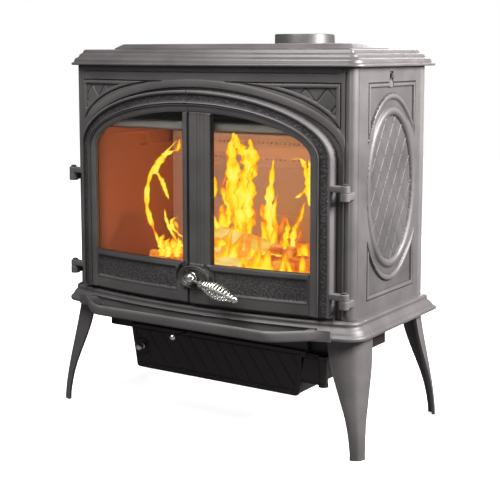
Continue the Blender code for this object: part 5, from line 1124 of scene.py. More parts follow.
def tube(points, normals, radius, sides=10):
    """Rings of a round tube along points: each in the plane of its normal and of the cross product
    of that with the path's direction. The radius is one number or one for each point."""
    along = np.gradient(points, axis=0)
    along /= np.linalg.norm(along, axis=1)[:, None]
    normals = normals - along * (normals * along).sum(axis=1)[:, None]
    normals /= np.linalg.norm(normals, axis=1)[:, None]
    other = np.cross(along, normals)
    turn = full_turn(sides)[None, :, None]
    radius = np.broadcast_to(radius, len(points))[:, None, None]
    spoke = np.cos(turn) * normals[:, None, :] + np.sin(turn) * other[:, None, :]
    return points[:, None, :] + radius * spoke


WIRE_RADIUS = 0.00185
rings = tube(*spring_path(), WIRE_RADIUS)
lay("spring_grip", rings, skin(rings), nickel,
    body="door_handle", part="nickel", stands_for=("coil_handle",), crease=60.0)
refinish(steel, "latch_cam")


# Ash lip. A shallow cast tray bolted to the front of the base that catches ash when the doors are
# open. Its thick rounded rim is straight in the middle and swings back in an S at both ends.
LIP_TOP, LIP_LOW, LIP_END, LIP_FLAT = 0.2660, 0.2432, 0.338, 0.215


def lip_front(x):
    """Y of the rim: the foremost line in the middle, then a smooth step to the base's corner."""
    foremost = -BODY_HALF[1] - 0.048 - 0.065
    return foremost + (front_y(LIP_END, 0.029) - foremost) * eased(np.abs(x), LIP_FLAT, LIP_END)


stations = np.concatenate([
    np.linspace(-LIP_END, -0.2998, 14), np.linspace(-0.2996, 0.2996, 190),
    np.linspace(0.2998, LIP_END, 14),
])
inner = np.abs(stations) < 0.2997
front = lip_front(stations)
back = np.where(inner, front_y(stations, 0.0025), front_y(stations, 0.0273))
deep = 0.0178 * (1 - eased(np.abs(stations), 0.262, 0.2890))
rim = np.array([
    (0.0060, 0.0), (0.0022, 0.0006), (0.0006, 0.0026), (0.0002, 0.0060), (0.0000, 0.0110),
    (0.0001, 0.0160), (0.0007, 0.0192), (0.0020, 0.0215), (0.0040, 0.0227), (0.0056, 0.0228),
    (0.0074, 0.0223), (0.0088, 0.0210),
])
reach = np.linspace(0.06, 0.50, len(rim))
width = (back - front)[:, None]
y_front = front[:, None] + np.minimum(rim[None, :, 0], width * np.maximum(reach, 0.3)[None, :])
z_front = LIP_LOW + np.broadcast_to(rim[None, :, 1], y_front.shape)
floor_z = (LIP_TOP - 0.0008 - deep)[:, None]
tray = np.array([0.0098, 0.0106, 0.0125])
y_tray = front[:, None] + np.minimum(tray[None, :], width * np.array([0.53, 0.56, 0.60])[None, :])
z_tray = floor_z + np.minimum(deep[:, None], 0.02) * np.array([0.35, 0.10, 0.0])[None, :]
wall_back = np.array([0.0105, 0.0088, 0.0086, 0.0078])
y_wall = back[:, None] - np.minimum(wall_back[None, :], width * np.array([0.34, 0.30, 0.26, 0.20])[None, :])
z_wall = np.concatenate([
    floor_z, floor_z + 0.12 * deep[:, None], np.full_like(floor_z, LIP_TOP - 0.0009),
    np.full_like(floor_z, LIP_TOP),
], axis=1)
y_end = np.repeat(back[:, None], 2, axis=1)
z_end = np.broadcast_to([LIP_TOP, LIP_LOW], y_end.shape)
y = np.concatenate([y_front, y_tray, y_wall, y_end], axis=1)
z = np.concatenate([z_front, z_tray, z_wall, z_end], axis=1)
rings = np.stack([np.broadcast_to(stations[:, None], y.shape), y, z], 2)
lay("s_curved_lip", rings, skin(rings), enamel, stands_for=("ash_lip",), crease=40.0)


# Ash box. A pressed-steel chamber that hangs under the floor, with a shallow heat shield on both
# sides of it. Both are sprayed with heat-proof black paint. A loose pan stands in the box.
box_black = cast_enamel(
    "ash_box_black", colour=(0.034, 0.028, 0.029), grain=900.0, relief=0.00012, dull=0.02, metal=0.1
)
refinish(box_black, "ash_box", "heat_shield")
refinish(black_steel, "ash_pan", "air_valve_plate", "ash_door_tongue")
refinish(dark_enamel, "bottom_plate")


# Ash door. A cast plate that closes the box, with a thin raised line round its edge that bends
# round the knob, slanting lines across the field, and a barrel hinge on an arm at the right.
ASH_FRONT, ASH_LOW, ASH_HIGH = -0.1273, 0.092, 0.195
ASH_KNOB = (-0.205, 0.143)
ASH_HINGE = (0.283, -0.1308)


def ash_low_edge(x):
    """Lower edge of the door: flat, then a rounded corner, then the slanted side."""
    over = np.maximum(np.abs(x) - 0.212, 0.0)
    corner = ASH_LOW + 0.012 * (1 - np.sqrt(np.clip(1 - np.square(over / 0.012), 0.0, 1.0)))
    return np.where(np.abs(x) < 0.2238, corner, ASH_LOW + 0.0116 + (np.abs(x) - 0.2238) * 5.58)


def ash_height(x, z):
    """How far the door's face stands in front of its back: the border, the raised line, the field
    and its slanting lines."""
    side = (0.2240 + (z - ASH_LOW - 0.012) * 0.1758 - np.abs(x)) / 1.015
    inside = np.minimum(np.minimum(z - ASH_LOW, ASH_HIGH - z), side)
    level = np.minimum(inside - 0.0105, np.hypot(x - ASH_KNOB[0], z - ASH_KNOB[1]) - 0.0180)
    raised = 0.0010 * (1 - eased(np.abs(level), 0.0006, 0.0016))
    height = 0.0062 + raised - 0.0010 * eased(level, 0.0008, 0.0018)
    slant = (x + 0.735 * (z - ASH_LOW) + 0.004) / 0.0390
    gap = np.abs(slant - np.round(slant)) * 0.0390 / 1.24
    height = height + 0.0012 * (1 - eased(gap, 0.0005, 0.0015)) * eased(level, 0.0018, 0.0032)
    return height - 0.0016 * eased(0.0016 - inside, 0.0, 0.0016)


half = np.concatenate([
    np.linspace(0.0, 0.2120, 176)[:-1], 0.2120 + 0.0118 * np.sin(np.linspace(0, math.pi / 2, 10)),
    np.linspace(0.2240, 0.2396, 14),
])
across = np.concatenate([-half[:0:-1], half])
share = rows_at(0.0, 1.0, 0.0125)
low = np.minimum(ash_low_edge(across), ASH_HIGH - 0.0006)
x, z = np.broadcast_arrays(across[:, None], low[:, None] + (ASH_HIGH - low)[:, None] * share[None, :])
height = ash_height(x, z)
sheet = slab(np.stack([x, ASH_FRONT - height, z], 2), np.stack([x, np.full(x.shape, ASH_FRONT), z], 2))
barrel = turned_shell((*ASH_HINGE, 0.1307), (0, 0, 1), [
    (0.0, 0.0), (0.0, 0.0089), (0.0008, 0.0098), (0.0512, 0.0098), (0.0520, 0.0089), (0.0520, 0.0)], 40)
arm = block((0.2290, ASH_FRONT - 0.0062, 0.1312), (ASH_HINGE[0], ASH_FRONT - 0.0006, 0.1822), 0.0010)
gloss_black = cast_enamel(
    "ash_door_black", colour=(0.036, 0.027, 0.028), grain=800.0, relief=0.00012, dull=-0.08, metal=0.15
)
lay(
    "lined_ash_door", *several([sheet, barrel, (arm, skin(arm))]), gloss_black, body="ash_door",
    stands_for=("ash_door",), crease=26.0
)
profile = [(0.0, 0.0), (0.0, 0.0030), (0.0006, 0.0034), (0.0669, 0.0034), (0.0669, 0.0058), (0.0676, 0.0060),
           (0.0684, 0.0052), (0.0688, 0.0030), (0.0689, 0.0)]
lay("ash_hinge_pin", *turned_shell((*ASH_HINGE, 0.1234), (0, 0, 1), profile, 32), dark_pin, part="steel",
    stands_for=("ash_door_pin",), crease=50.0)


# Ash door knob and air lever. Both knobs are turned and nickel plated: one on the latch of the
# ash door, and one on the end of the thin rod that slides the air valve.
ASH_BOX_FRONT, ASH_BOX_WALL, ASH_DOOR_THICKNESS, ASH_BORDER_RISE = -0.127, 0.004, 0.007, 0.0012
TONGUE_THICKNESS, KNOB_RADIUS = 0.003, 0.009
LEVER_X, LEVER_Z, LEVER_REACH, VALVE_THICKNESS = -0.018, 0.218, 0.136, 0.004
behind = ASH_BOX_FRONT + ASH_BOX_WALL + 2 * FIT_GAP
tip = behind + TONGUE_THICKNESS + FIT_GAP
length = tip - (ASH_FRONT - ASH_DOOR_THICKNESS + ASH_BORDER_RISE - FIT_GAP)
profile = [(0.0, 0.0), (0.0, 0.0026), (0.0005, 0.0030), (length, 0.0030), (length, 0.0066),
           (length + 0.0008, 0.0072), (length + 0.0016, 0.0070), (length + 0.0028, 0.0052)]
turn = np.linspace(0.19, 1.0, 18) * math.pi
profile += [(length + KNOB_RADIUS * (1.25 - math.cos(a)), 0.0089 * math.sin(a)) for a in turn[:-1]]
profile += [(length + KNOB_RADIUS * 2.25, 0.0)]
profile = [(min(d, length + 0.0199), r) for d, r in profile]
lay("round_ash_knob", *turned_shell((ASH_KNOB[0], tip, ASH_KNOB[1]), (0, -1, 0), profile, 40), nickel,
    body="ash_knob", part="nickel", stands_for=("ash_door_knob",))
lever_tip = behind + VALVE_THICKNESS
centre = lever_tip - (LEVER_REACH + ASH_BOX_WALL + VALVE_THICKNESS)
turn = np.linspace(0.0, 1.0, 22) * math.pi
profile = [(-0.00665 * math.cos(a), 0.0070 * math.sin(a)) for a in turn]
lay("lever_ball", *turned_shell((LEVER_X, centre, LEVER_Z), (0, -1, 0), profile, 40), nickel,
    body="air_lever", part="nickel", stands_for=("air_lever_ball",))
refinish(steel, "air_lever_rod")


# Firebox lining. Three boards of pressed vermiculite: smooth ones at the sides with a bevelled
# front edge and a raised rail under the baffle, and a jointed one at the back. The fire has baked
# them, soot greys them in patches, and the side boards' deep orange is partly painted firelight.
def baked_board(name, colour, soot=(0.10, 0.045, 0.025)):
    """Fired board: a warm tone with a wide cloud and fine grain, and a soot tone that the cloud
    lets through at its dark end."""
    made, tree, shader, place = new_finish(name)
    cloud, grain = noise(tree, place, 5.0, 5.0), noise(tree, place, 420.0)
    tone = ramp(tree, cloud, ((0.22, soot), (0.42, colour), (0.75, shade(colour, 1.1))))
    rough = ramp(tree, grain, ((0.3, 0.80), (0.7, 0.95)))
    surface(tree, shader, tone, rough, grain, 0.0004, 0.5)
    return made


def board(low, high, axis, face, relief, columns, rows, side=1):
    """A board with one carved face: axis 0 faces along X and 1 along -Y. The face moves by side
    times relief(along, height)."""
    along, height = np.meshgrid(columns, rows, indexing="ij")
    depth = side * relief(along, height)
    near, far = (face, low if abs(high - face) < abs(low - face) else high)
    sides = []
    for across in (near + depth, np.full(along.shape, far)):
        sides.append(np.stack([across, along, height] if axis == 0 else [along, across, height], 2))
    return slab(*sides)


def side_board_relief(y, z):
    """Bevel along the front edge, a raised rail that steps down behind, and a sunk patch under it."""
    bevel = 0.0110 * (1 - eased(y, -0.152, -0.128))
    rail_z = 0.640 - 0.034 * eased(y, 0.028, 0.046)
    rail = -0.0022 * (1 - eased(np.abs(z - rail_z), 0.0016, 0.0030)) * (y > -0.120)
    patch = 0.0050 * band(y, 0.002, 0.030, 0.0020) * band(z, 0.606, 0.634, 0.0020)
    return bevel + rail + patch


HOLES = 0.0126
LINING_LOW, LINING_HIGH = 0.2823, 0.655
LINING_FACE, LINING_BACK = 0.3120, 0.326


def in_hole(x, z, level, half_x, half_z):
    """True inside a row of square air holes at a level, HOLES apart."""
    return (np.abs(x / HOLES - np.round(x / HOLES)) * HOLES < half_x) & (np.abs(z - level) < half_z)


def hole_columns(most, outer, inner, reach):
    """Columns that stand close together at both edges of every hole and once between two holes, as
    far as reach from the middle."""
    holes = np.arange(-most, most + 1) * HOLES
    columns = np.sort(np.concatenate([holes + shift for shift in (-outer, -inner, inner, outer, 0.0063)]))
    return columns[np.abs(columns) < reach]


def back_board_relief(x, z):
    """Joints between the back's bricks, a row of air holes and two bolt holes."""
    joint = np.minimum(np.abs(z - 0.5560) + 0 * x, np.abs(z - 0.4300 - 0.0100 * np.sign(np.sin(x * 21.0))))
    slope = np.abs((z - 0.4600) + 0.9 * (np.abs(x - 0.060) - 0.150)) / 1.345
    slope = np.where((z > 0.4300) & (z < 0.5560), slope, 1.0)
    groove = 0.0020 * (1 - eased(np.minimum(joint, slope), 0.0004, 0.0016))
    hole = in_hole(x, z, 0.5740, 0.0019, 0.0019)
    bolt = np.hypot(np.abs(x) - 0.245, z - 0.405) < 0.0040
    return groove + 0.0060 * hole + 0.0050 * bolt


# The side boards' deep orange is partly their baked colour and partly painted firelight.
side_board = baked_board("baked_side_board_painted_firelight", (0.30, 0.093, 0.034), soot=(0.09, 0.040, 0.024))
back_board = baked_board("baked_back_board", (0.60, 0.420, 0.370), soot=(0.24, 0.16, 0.14))
for side, word in ((1, "right"), (-1, "left")):
    spot = side * LINING_FACE
    columns, rows = np.linspace(-0.152, 0.146, 150), np.linspace(LINING_LOW, LINING_HIGH, 186)
    sheet = board(spot, side * LINING_BACK, 0, spot, side_board_relief, columns, rows, side)
    name = f"lining_{word}"
    lay(f"board_{name}", *sheet, side_board, part="firebrick", stands_for=(name,), crease=50.0)
columns = np.concatenate([[-0.3115], hole_columns(24, 0.0020, 0.0018, 0.311), [0.3115]])
rows = rows_at(LINING_LOW, LINING_HIGH, 0.0024, (0.5721, 0.5759, 0.5560))
lay("board_lining_back", *board(0.132, 0.146, 1, 0.132, back_board_relief, columns, rows), back_board,
    part="firebrick", stands_for=("lining_back",), crease=40.0)


# Air manifold and inner iron. A folded steel channel on the back board feeds hot air through a row
# of small holes, and its tan colour is the fire's light painted on it. The baffle, the grate and the
# log bar are rough cast iron, and the damper and the leg bolts are steel.
def manifold_relief(x, z):
    """The channel's front: a fold that leans out to a line two thirds down, with the air holes."""
    lean = 0.0050 * eased(np.abs(z - 0.6060), 0.0, 0.0260)
    return lean + 0.0070 * in_hole(x, z, 0.6150, 0.0021, 0.0022)


# Painted light: the tan colour stands for the fire's light on the steel.
firelit_painted_steel = baked_board("steel_painted_with_firelight", (0.72, 0.460, 0.340), soot=(0.36, 0.20, 0.13))
columns = hole_columns(23, 0.0022, 0.0020, 0.295)
rows = rows_at(0.5880, 0.6340, 0.0020, (0.6128, 0.6172, 0.6060))
lay("folded_manifold", *board(0.1097, 0.1317, 1, 0.1100, manifold_relief, columns, rows), firelit_painted_steel,
    part="steel", stands_for=("air_manifold",), crease=40.0)
rough_iron = cast_enamel(
    "rough_cast_iron", colour=(0.050, 0.045, 0.044), grain=300.0, relief=0.0008, dull=0.2, metal=0.2
)
refinish(rough_iron, "grate", "log_bar", "baffle")
refinish(black_steel, "damper_flap")
refinish(
    steel, "damper_spindle", "leg_bolt_front_left", "leg_bolt_front_right", "leg_bolt_rear_left",
    "leg_bolt_rear_right"
)


# Air-wash bar. A rounded iron bar bent to the bow behind the top of the doors. It throws clean
# air down the inside of the glass, and the heat leaves it pale grey.
stations = np.linspace(-0.3045, 0.3045, 120)
taper = np.sqrt(np.clip(1 - np.square(np.maximum(np.abs(stations) - 0.270, 0.0) / 0.040), 0.0, 1.0))[:, None]
turn = np.linspace(0.0, 2 * math.pi, 33)[:-1][None, :]
round_y = np.sign(np.cos(turn)) * np.abs(np.cos(turn)) ** 0.55
round_z = np.sign(np.sin(turn)) * np.abs(np.sin(turn)) ** 0.70
out_by = -0.0213 + 0.0128 * taper * round_y
x = np.broadcast_to(stations[:, None], out_by.shape)
rings = np.stack([x, front_y(x, out_by), 0.6740 + 0.0096 * taper * round_z], 2)
bar_iron = cast_enamel("pale_bar_iron", colour=(0.13, 0.127, 0.124), grain=500.0, relief=0.0003, metal=0.5)
lay("curved_wash_bar", rings, skin(rings), bar_iron, part="bare_iron", stands_for=("air_wash_bar",))


# Fire. Split logs over the grate and a bed of embers, then the flames: two broad ragged sheets
# that a stretched noise opens, and single tongues that curl up between them. The solids of the
# stove leave it out, so no piece here replaces a node.
def glowing_wood(name, bright, grain=38.0):
    """Burning wood: a stretched wave draws the grain from char to a pale glow, and a noise breaks it
    into glowing and dark patches. The glow is the emission and the char the base colour."""
    made, tree, shader, place = new_finish(name)
    spread = add_node(tree, "ShaderNodeMapping", Vector=place)
    feed(tree, (0.25, 1.0, 1.6), spread, "Scale")
    lines, patches = noise(tree, (spread, "Vector"), grain, 6.0), noise(tree, place, 24.0, 3.0)
    both = add_node(tree, "ShaderNodeMath", operation="ADD")
    feed(tree, lines, both, 0)
    feed(tree, patches, both, 1)
    half = add_node(tree, "ShaderNodeMath", operation="MULTIPLY")
    feed(tree, (both, 0), half, 0)
    feed(tree, 0.5, half, 1)
    stops = (
        (0.32, (0.02, 0.003, 0.001)), (0.42, (0.55, 0.05, 0.004)), (0.50, (0.95, 0.28, 0.02)),
        (0.62, (1.0, 0.62, 0.10))
    )
    if bright:
        stops = (
            (0.30, (0.50, 0.08, 0.01)), (0.38, (0.95, 0.40, 0.03)), (0.47, (1.0, 0.66, 0.09)),
            (0.60, (1.0, 0.82, 0.30))
        )
    feed(tree, ramp(tree, (half, "Value"), stops), shader, "Emission Color")
    feed(tree, 0.85, shader, "Emission Strength")
    char = ramp(tree, patches, ((0.3, (0.02, 0.015, 0.012)), (0.7, (0.12, 0.06, 0.03))))
    feed(tree, char, shader, "Base Color")
    feed(tree, 0.9, shader, "Roughness")
    return made


def split_log(start, end, radius, turned_by, steps=70, sides=40):
    """A split log: rings between two points, each a rounded wedge whose radius also wanders with
    the angle and the distance, and closed ends."""
    start, end = np.asarray(start), np.asarray(end)
    share = np.linspace(0.0, 1.0, steps)[:, None]
    angle = full_turn(sides)[None, :]
    wedge = 1.0 - 0.20 * np.abs(np.cos(1.5 * (angle + turned_by)))
    wander = 0.05 * np.sin(5 * angle + 11 * share) + 0.03 * np.sin(13 * angle - 7 * share)
    wander = wander + 0.04 * np.sin(9 * share + turned_by)
    ends = np.minimum(1.0, 0.86 + 6 * np.minimum(share, 1 - share))
    reach = radius * wedge * (1 + wander) * ends
    along = (end - start) / np.linalg.norm(end - start)
    first = np.cross(along, (0.0, 0.0, 1.0))
    first /= np.linalg.norm(first)
    second = np.cross(along, first)
    middle = start + (end - start) * share[..., None]
    return middle + reach[..., None] * (np.cos(angle)[..., None] * first + np.sin(angle)[..., None] * second)


bright_wood, dark_wood = glowing_wood("bright_burning_wood", True), glowing_wood("charring_wood", False)
logs = (
    ("log_front", (-0.105, -0.066, 0.362), (0.050, -0.080, 0.364), 0.024, 0.4, bright_wood),
    ("log_across", (-0.095, -0.056, 0.430), (0.110, -0.066, 0.399), 0.018, 1.7, bright_wood),
    ("log_end", (0.112, -0.062, 0.398), (0.172, -0.066, 0.390), 0.015, 0.9, dark_wood),
    ("log_right", (0.070, -0.060, 0.352), (0.235, -0.050, 0.362), 0.026, 2.6, dark_wood),
    ("log_left", (-0.250, -0.030, 0.338), (-0.120, -0.050, 0.344), 0.020, 2.0, dark_wood),
    ("log_rear", (-0.150, 0.030, 0.350), (0.230, 0.050, 0.362), 0.036, 3.1, dark_wood),
)
for name, start, end, radius, turned_by, finish in logs:
    rings = split_log(start, end, radius, turned_by)
    lay(name, rings, skin(rings), finish, part="firebrick", crease=60.0)

chance = np.random.default_rng(7)
x, y = np.meshgrid(np.linspace(-0.27, 0.29, 190), np.linspace(-0.140, 0.095, 80), indexing="ij")
heap = 0.3085 + 0.036 * np.clip(1 - np.square((x - 0.02) / 0.30) - np.square((y + 0.02) / 0.14), 0.0, 1.0)
height = heap.copy()
EMBERS = 110
spans = ((-0.26, 0.28), (-0.13, 0.085), (0.010, 0.024), (0.004, 0.016))
for cx, cy, size, lift in zip(*[chance.uniform(least, most, EMBERS) for least, most in spans]):
    round_by = 1 - np.square((x - cx) / size) - np.square((y - cy) / size)
    swell = (0.8 * size * np.sqrt(np.clip(round_by, 0.0, 1.0)) - 0.004) * (round_by > 0)
    height = np.maximum(height, heap + lift + swell - lift * (round_by <= 0))
bed = slab(np.stack([x, y, height], 2), np.stack([x, y, np.full(x.shape, 0.3062)], 2))
lay("ember_bed", *bed, glowing_wood("glowing_embers", False, grain=70.0), part="firebrick", crease=60.0)


def flame_light(name):
    """Flame: the burn attribute plus 2.2 times a stretched, twisted noise, less 1.2, sets both the
    colour, from deep orange to yellow, and how much of it covers what is behind."""
    made, tree, shader, place = new_finish(name)
    tree.nodes.remove(shader)
    spread = add_node(tree, "ShaderNodeMapping", Vector=place)
    feed(tree, (1.0, 1.0, 0.42), spread, "Scale")
    twist = noise(tree, (spread, "Vector"), 24.0, 5.0, 1.6)
    burn = add_node(tree, "ShaderNodeAttribute")
    burn.attribute_name = "burn"
    ragged = add_node(tree, "ShaderNodeMath", operation="MULTIPLY_ADD")
    feed(tree, twist, ragged, 0)
    feed(tree, 2.2, ragged, 1)
    feed(tree, -1.20, ragged, 2)
    total = add_node(tree, "ShaderNodeMath", operation="ADD")
    feed(tree, (burn, "Fac"), total, 0)
    feed(tree, (ragged, 0), total, 1)
    tone = ramp(tree, (total, "Value"), (
        (0.20, (0.80, 0.07, 0.004)), (0.34, (1.0, 0.22, 0.008)), (0.50, (1.0, 0.50, 0.012)),
        (0.68, (1.0, 0.74, 0.015)), (0.95, (1.0, 0.86, 0.12)),
    ))
    cover = ramp(tree, (total, "Value"), ((0.22, 0.0), (0.36, 0.55), (0.55, 0.97)))
    glow = add_node(tree, "ShaderNodeEmission", Strength=1.1, Color=tone)
    clear_air = add_node(tree, "ShaderNodeBsdfTransparent")
    mixed = add_node(tree, "ShaderNodeMixShader")
    for socket, source in enumerate((cover, (clear_air, 0), (glow, 0))):
        feed(tree, source, mixed, socket)
    feed(tree, (mixed, 0), tree.nodes["Material Output"], "Surface")
    return made


flame = flame_light("flame")


def burning(name, points, faces, burn):
    """One flame: a piece with the burn attribute on its points, which throws no shadow."""
    piece = lay(name, points, faces, flame, part="firebrick", crease=180.0)
    held = piece.data.attributes.new("burn", "FLOAT", "POINT")
    held.data.foreach_set("value", np.asarray(burn, float).reshape(-1))
    piece.visible_shadow = False


FLAME_FOOT = 0.318


def flame_top(x):
    """Height that the sheets of flame reach at x, before each is stretched by its share: crests side
    by side, higher over the logs."""
    crests = (
        (-0.180, 0.020, 0.040), (-0.045, 0.030, 0.100), (0.020, 0.036, 0.125), (0.080, 0.026, 0.095),
        (0.125, 0.022, 0.080), (0.170, 0.018, 0.070), (0.212, 0.016, 0.085)
    )
    top = 0.016 + 0 * x
    for centre, wide, tall in crests:
        top = np.maximum(top, tall * np.exp(-np.square((x - centre) / wide) / 1.6))
    return 0.345 + top


thick = 0.0015
for k, (depth, left, right, share, tall) in enumerate((
    (-0.094, -0.090, 0.232, 0.80, 0.18), (-0.036, -0.215, 0.225, 1.50, 0.29),
)):
    x, t = np.meshgrid(np.linspace(left, right, 170), np.linspace(0.0, 1.0, 44), indexing="ij")
    z = FLAME_FOOT + t * tall
    wave = 0.008 * np.sin(26 * x + 9 * t + 1.9 * k) + 0.005 * np.sin(61 * x - 13 * t + k)
    sheet = slab(*(np.stack([x, depth + wave * t + lift, z], 2) for lift in (-thick, thick)))
    rise = (z - FLAME_FOOT) / np.maximum(share * (flame_top(x) - FLAME_FOOT), 0.02)
    sides = eased(np.minimum(x - left, right - x), 0.0, 0.030)
    burn = (1.04 - 0.78 * rise) * sides - 0.35 * (1 - sides)
    burning(f"flame_sheet_{k}", *sheet, [burn, burn])


def tongue(line, depth, width, heat):
    """A single tongue along a smooth line of (x, z) points at its depth: a flattened tube that swells
    to its width and runs out to a tip, with its wide side to the front and its rim the coolest."""
    line = rounded(np.insert(np.asarray(line, float), 1, depth, axis=1), 14)
    share = np.linspace(0.0, 1.0, len(line))
    full = np.sin(math.pi * np.clip(0.05 + 0.95 * share, 0, 1)) ** 0.5
    swell = 1.3 * width * full * (1.1 - 0.45 * share) + 0.0004
    swell = swell * (1 + 0.22 * np.sin(31 * share + 90 * width) + 0.14 * np.sin(67 * share))
    wide = np.array([math.cos(0.5), math.sin(0.5), 0.0])
    slim = np.array([-math.sin(0.5), math.cos(0.5), 0.0])
    turn = full_turn(14)[None, :, None]
    spread = swell[:, None, None]
    burn = (heat - 0.25 * share[:, None] ** 2) - 0.45 * np.cos(turn[..., 0]) ** 2
    return line[:, None, :] + spread * (np.cos(turn) * wide + 0.30 * np.sin(turn) * slim), burn


tongues = (
    (
        [(0.034, 0.400), (0.024, 0.450), (0.010, 0.500), (0.006, 0.560), (0.000, 0.610), (0.006, 0.652)],
        0.0150, 1.10
    ),
    ([(0.024, 0.420), (0.038, 0.480), (0.040, 0.540), (0.060, 0.590), (0.052, 0.640)], 0.0170, 1.05),
    ([(0.052, 0.560), (0.046, 0.600), (0.024, 0.625), (0.018, 0.648)], 0.0120, 1.00),
    ([(0.040, 0.480), (0.060, 0.520), (0.058, 0.560), (0.076, 0.590)], 0.0070, 0.95),
    ([(0.002, 0.480), (-0.010, 0.520), (-0.004, 0.560), (-0.014, 0.596)], 0.0060, 0.95),
    ([(0.128, 0.380), (0.110, 0.430), (0.103, 0.490), (0.109, 0.545), (0.115, 0.596)], 0.0085, 1.05),
    ([(0.112, 0.400), (0.124, 0.440), (0.118, 0.480), (0.128, 0.520)], 0.0060, 0.95),
    ([(0.154, 0.392), (0.150, 0.420), (0.158, 0.450), (0.154, 0.470)], 0.0060, 0.95),
    ([(0.162, 0.400), (0.166, 0.440), (0.182, 0.470), (0.192, 0.505)], 0.0055, 0.95),
    ([(0.176, 0.515), (0.204, 0.542), (0.198, 0.575), (0.186, 0.600), (0.150, 0.596)], 0.0055, 0.92),
    ([(0.212, 0.500), (0.206, 0.540), (0.212, 0.580), (0.206, 0.600)], 0.0060, 0.92),
    ([(-0.030, 0.430), (-0.052, 0.480), (-0.036, 0.520), (-0.046, 0.560), (-0.030, 0.590)], 0.0060, 0.86),
    ([(-0.010, 0.440), (-0.006, 0.480), (-0.026, 0.520), (-0.012, 0.556)], 0.0070, 0.88),
    (
        [
            (-0.202, 0.372), (-0.224, 0.415), (-0.241, 0.460), (-0.240, 0.510), (-0.222, 0.557),
            (-0.188, 0.594), (-0.152, 0.626)
        ],
        0.0046, 0.98
    ),
    ([(-0.216, 0.545), (-0.196, 0.580), (-0.170, 0.600), (-0.148, 0.606), (-0.140, 0.632)], 0.0080, 0.98),
    ([(-0.204, 0.548), (-0.190, 0.530), (-0.180, 0.508), (-0.170, 0.488)], 0.0046, 0.92),
    ([(-0.150, 0.380), (-0.172, 0.408), (-0.188, 0.438), (-0.192, 0.462)], 0.0034, 0.92),
    ([(-0.138, 0.400), (-0.164, 0.418), (-0.168, 0.438), (-0.146, 0.448)], 0.0036, 0.92),
    ([(-0.196, 0.350), (-0.192, 0.368), (-0.198, 0.386), (-0.190, 0.402)], 0.0080, 1.05),
    ([(-0.176, 0.350), (-0.172, 0.366), (-0.178, 0.384), (-0.168, 0.396)], 0.0080, 1.05),
    ([(-0.154, 0.350), (-0.156, 0.366), (-0.148, 0.380), (-0.152, 0.396)], 0.0085, 1.05),
)
for k, (line, width, heat) in enumerate(tongues):
    rings, burn = tongue(line, -0.060 - 0.004 * (k % 4), width, heat)
    burning(f"flame_tongue_{k}", rings, skin(rings), burn)


# The fire's own light: two small warm lamps among the flames.
for name, place, power in (("fire_low", (0.08, -0.10, 0.44), 1.7), ("fire_high", (0.02, -0.06, 0.56), 1.0)):
    light = bpy.data.lights.new(name, "POINT")
    light.energy, light.color, light.shadow_soft_size = power, (1.0, 0.62, 0.36), 0.001
    lamp = bpy.data.objects.new(name, light)
    lamp.location = place
    lamp.visible_transmission = lamp.visible_glossy = False
    show(lamp)


# Studio. A plain pale floor and an even sky, both white to the camera and dim as light, so that
# the stove's shadow stays. The strongest lamp stands on the right, a weak one is in front on the
# left, and two broad ones are behind and overhead.
def two_faced(tree, lighting, seen, output):
    """The seen surface for camera rays and those that pass glass, the lighting one for all others."""
    path = add_node(tree, "ShaderNodeLightPath")
    either = add_node(tree, "ShaderNodeMath", operation="MAXIMUM")
    feed(tree, (path, "Is Camera Ray"), either, 0)
    feed(tree, (path, "Is Transmission Ray"), either, 1)
    mixed = add_node(tree, "ShaderNodeMixShader")
    for socket, source in enumerate((either, lighting, seen)):
        feed(tree, (source, 0), mixed, socket)
    feed(tree, (mixed, 0), tree.nodes[output], "Surface")


ground = bpy.data.meshes.new("studio_floor")
reach = 6.0
corners = [(reach * a, reach * b, 0) for a, b in ((-1, -1), (1, -1), (1, 1), (-1, 1))]
ground.from_pydata(corners, [], [(0, 1, 2, 3)])
floor = bpy.data.objects.new("studio_floor", ground)
show(floor)
paper, tree, shader, place = new_finish("white_studio_floor")
feed(tree, (0.80, 0.80, 0.80, 1.0), shader, "Base Color")
feed(tree, 0.9, shader, "Roughness")
away = add_node(tree, "ShaderNodeVectorMath", operation="LENGTH")
feed(tree, place, away, 0)
wash = add_node(tree, "ShaderNodeMapRange", Value=(away, "Value"))
for label, value in (("From Min", 0.7), ("From Max", 2.0), ("To Min", 0.80), ("To Max", 1.0)):
    feed(tree, value, wash, label)
glow = add_node(tree, "ShaderNodeEmission", Color=(1.0, 1.0, 1.0, 1.0), Strength=(wash, "Result"))
lit = add_node(tree, "ShaderNodeAddShader")
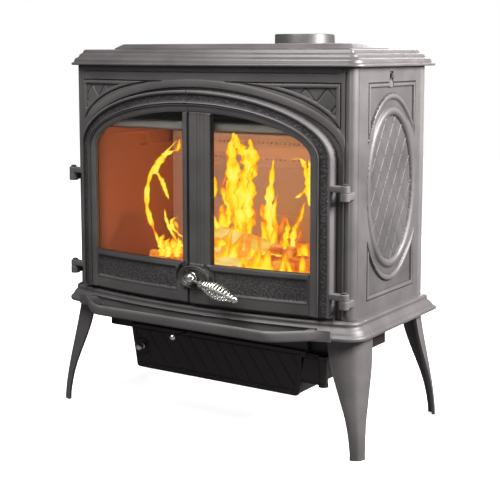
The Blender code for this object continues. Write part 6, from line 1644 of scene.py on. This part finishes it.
feed(tree, (shader, 0), lit, 0)
feed(tree, (glow, 0), lit, 1)
dim = add_node(tree, "ShaderNodeBsdfDiffuse", Color=(0.14, 0.14, 0.14, 1.0))
two_faced(tree, dim, lit, "Material Output")
ground.materials.append(paper)

world = bpy.data.worlds.new("studio_sky")
bpy.context.scene.world = world
world.use_nodes = True
tree = world.node_tree
sky = tree.nodes["Background"]
feed(tree, (1.0, 0.985, 0.98, 1.0), sky, "Color")
feed(tree, 0.14, sky, "Strength")
white = add_node(tree, "ShaderNodeBackground", Color=(1.0, 1.0, 1.0, 1.0), Strength=1.0)
two_faced(tree, sky, white, "World Output")


def soft_lamp(name, place, target, size, power, colour=(1.0, 1.0, 1.0)):
    """A square area lamp of the given size and watts that faces a target."""
    light = bpy.data.lights.new(name, "AREA")
    light.size, light.energy, light.color = size, power, colour
    lamp = bpy.data.objects.new(name, light)
    lamp.location = place
    lamp.rotation_euler = (Vector(target) - Vector(place)).to_track_quat("-Z", "Y").to_euler()
    show(lamp)


middle = (0.0, 0.0, 0.45)
soft_lamp("key_right", (1.66, 0.18, 1.38), (0.3, 0.1, 0.7), 0.8, 100.0, (1.0, 0.985, 0.975))
soft_lamp("front_fill", (-0.3, -1.3, 1.45), (0.0, -0.2, 0.72), 0.8, 4.2)
soft_lamp("rear_fill", (-0.9, 2.8, 1.7), middle, 1.6, 60.0)
soft_lamp("overhead", (0.0, -1.3, 2.4), middle, 1.2, 56.0)

lens = bpy.data.cameras.new("photo_camera")
lens.sensor_width, lens.lens = 36.0, 81.6
lens.shift_x, lens.shift_y = -0.0057, -0.13
azimuth, distance, sideways = math.radians(33.05), 2.613, 0.0153
view = bpy.data.objects.new("photo_camera", lens)
view.location = (
    math.sin(azimuth) * distance + math.cos(azimuth) * sideways,
    -math.cos(azimuth) * distance + math.sin(azimuth) * sideways + BODY_Y, 0.832,
)
view.rotation_euler = (math.radians(83.31), 0.0, azimuth)
show(view)
bpy.context.scene.camera = view
bpy.context.scene.view_settings.view_transform = "Standard"
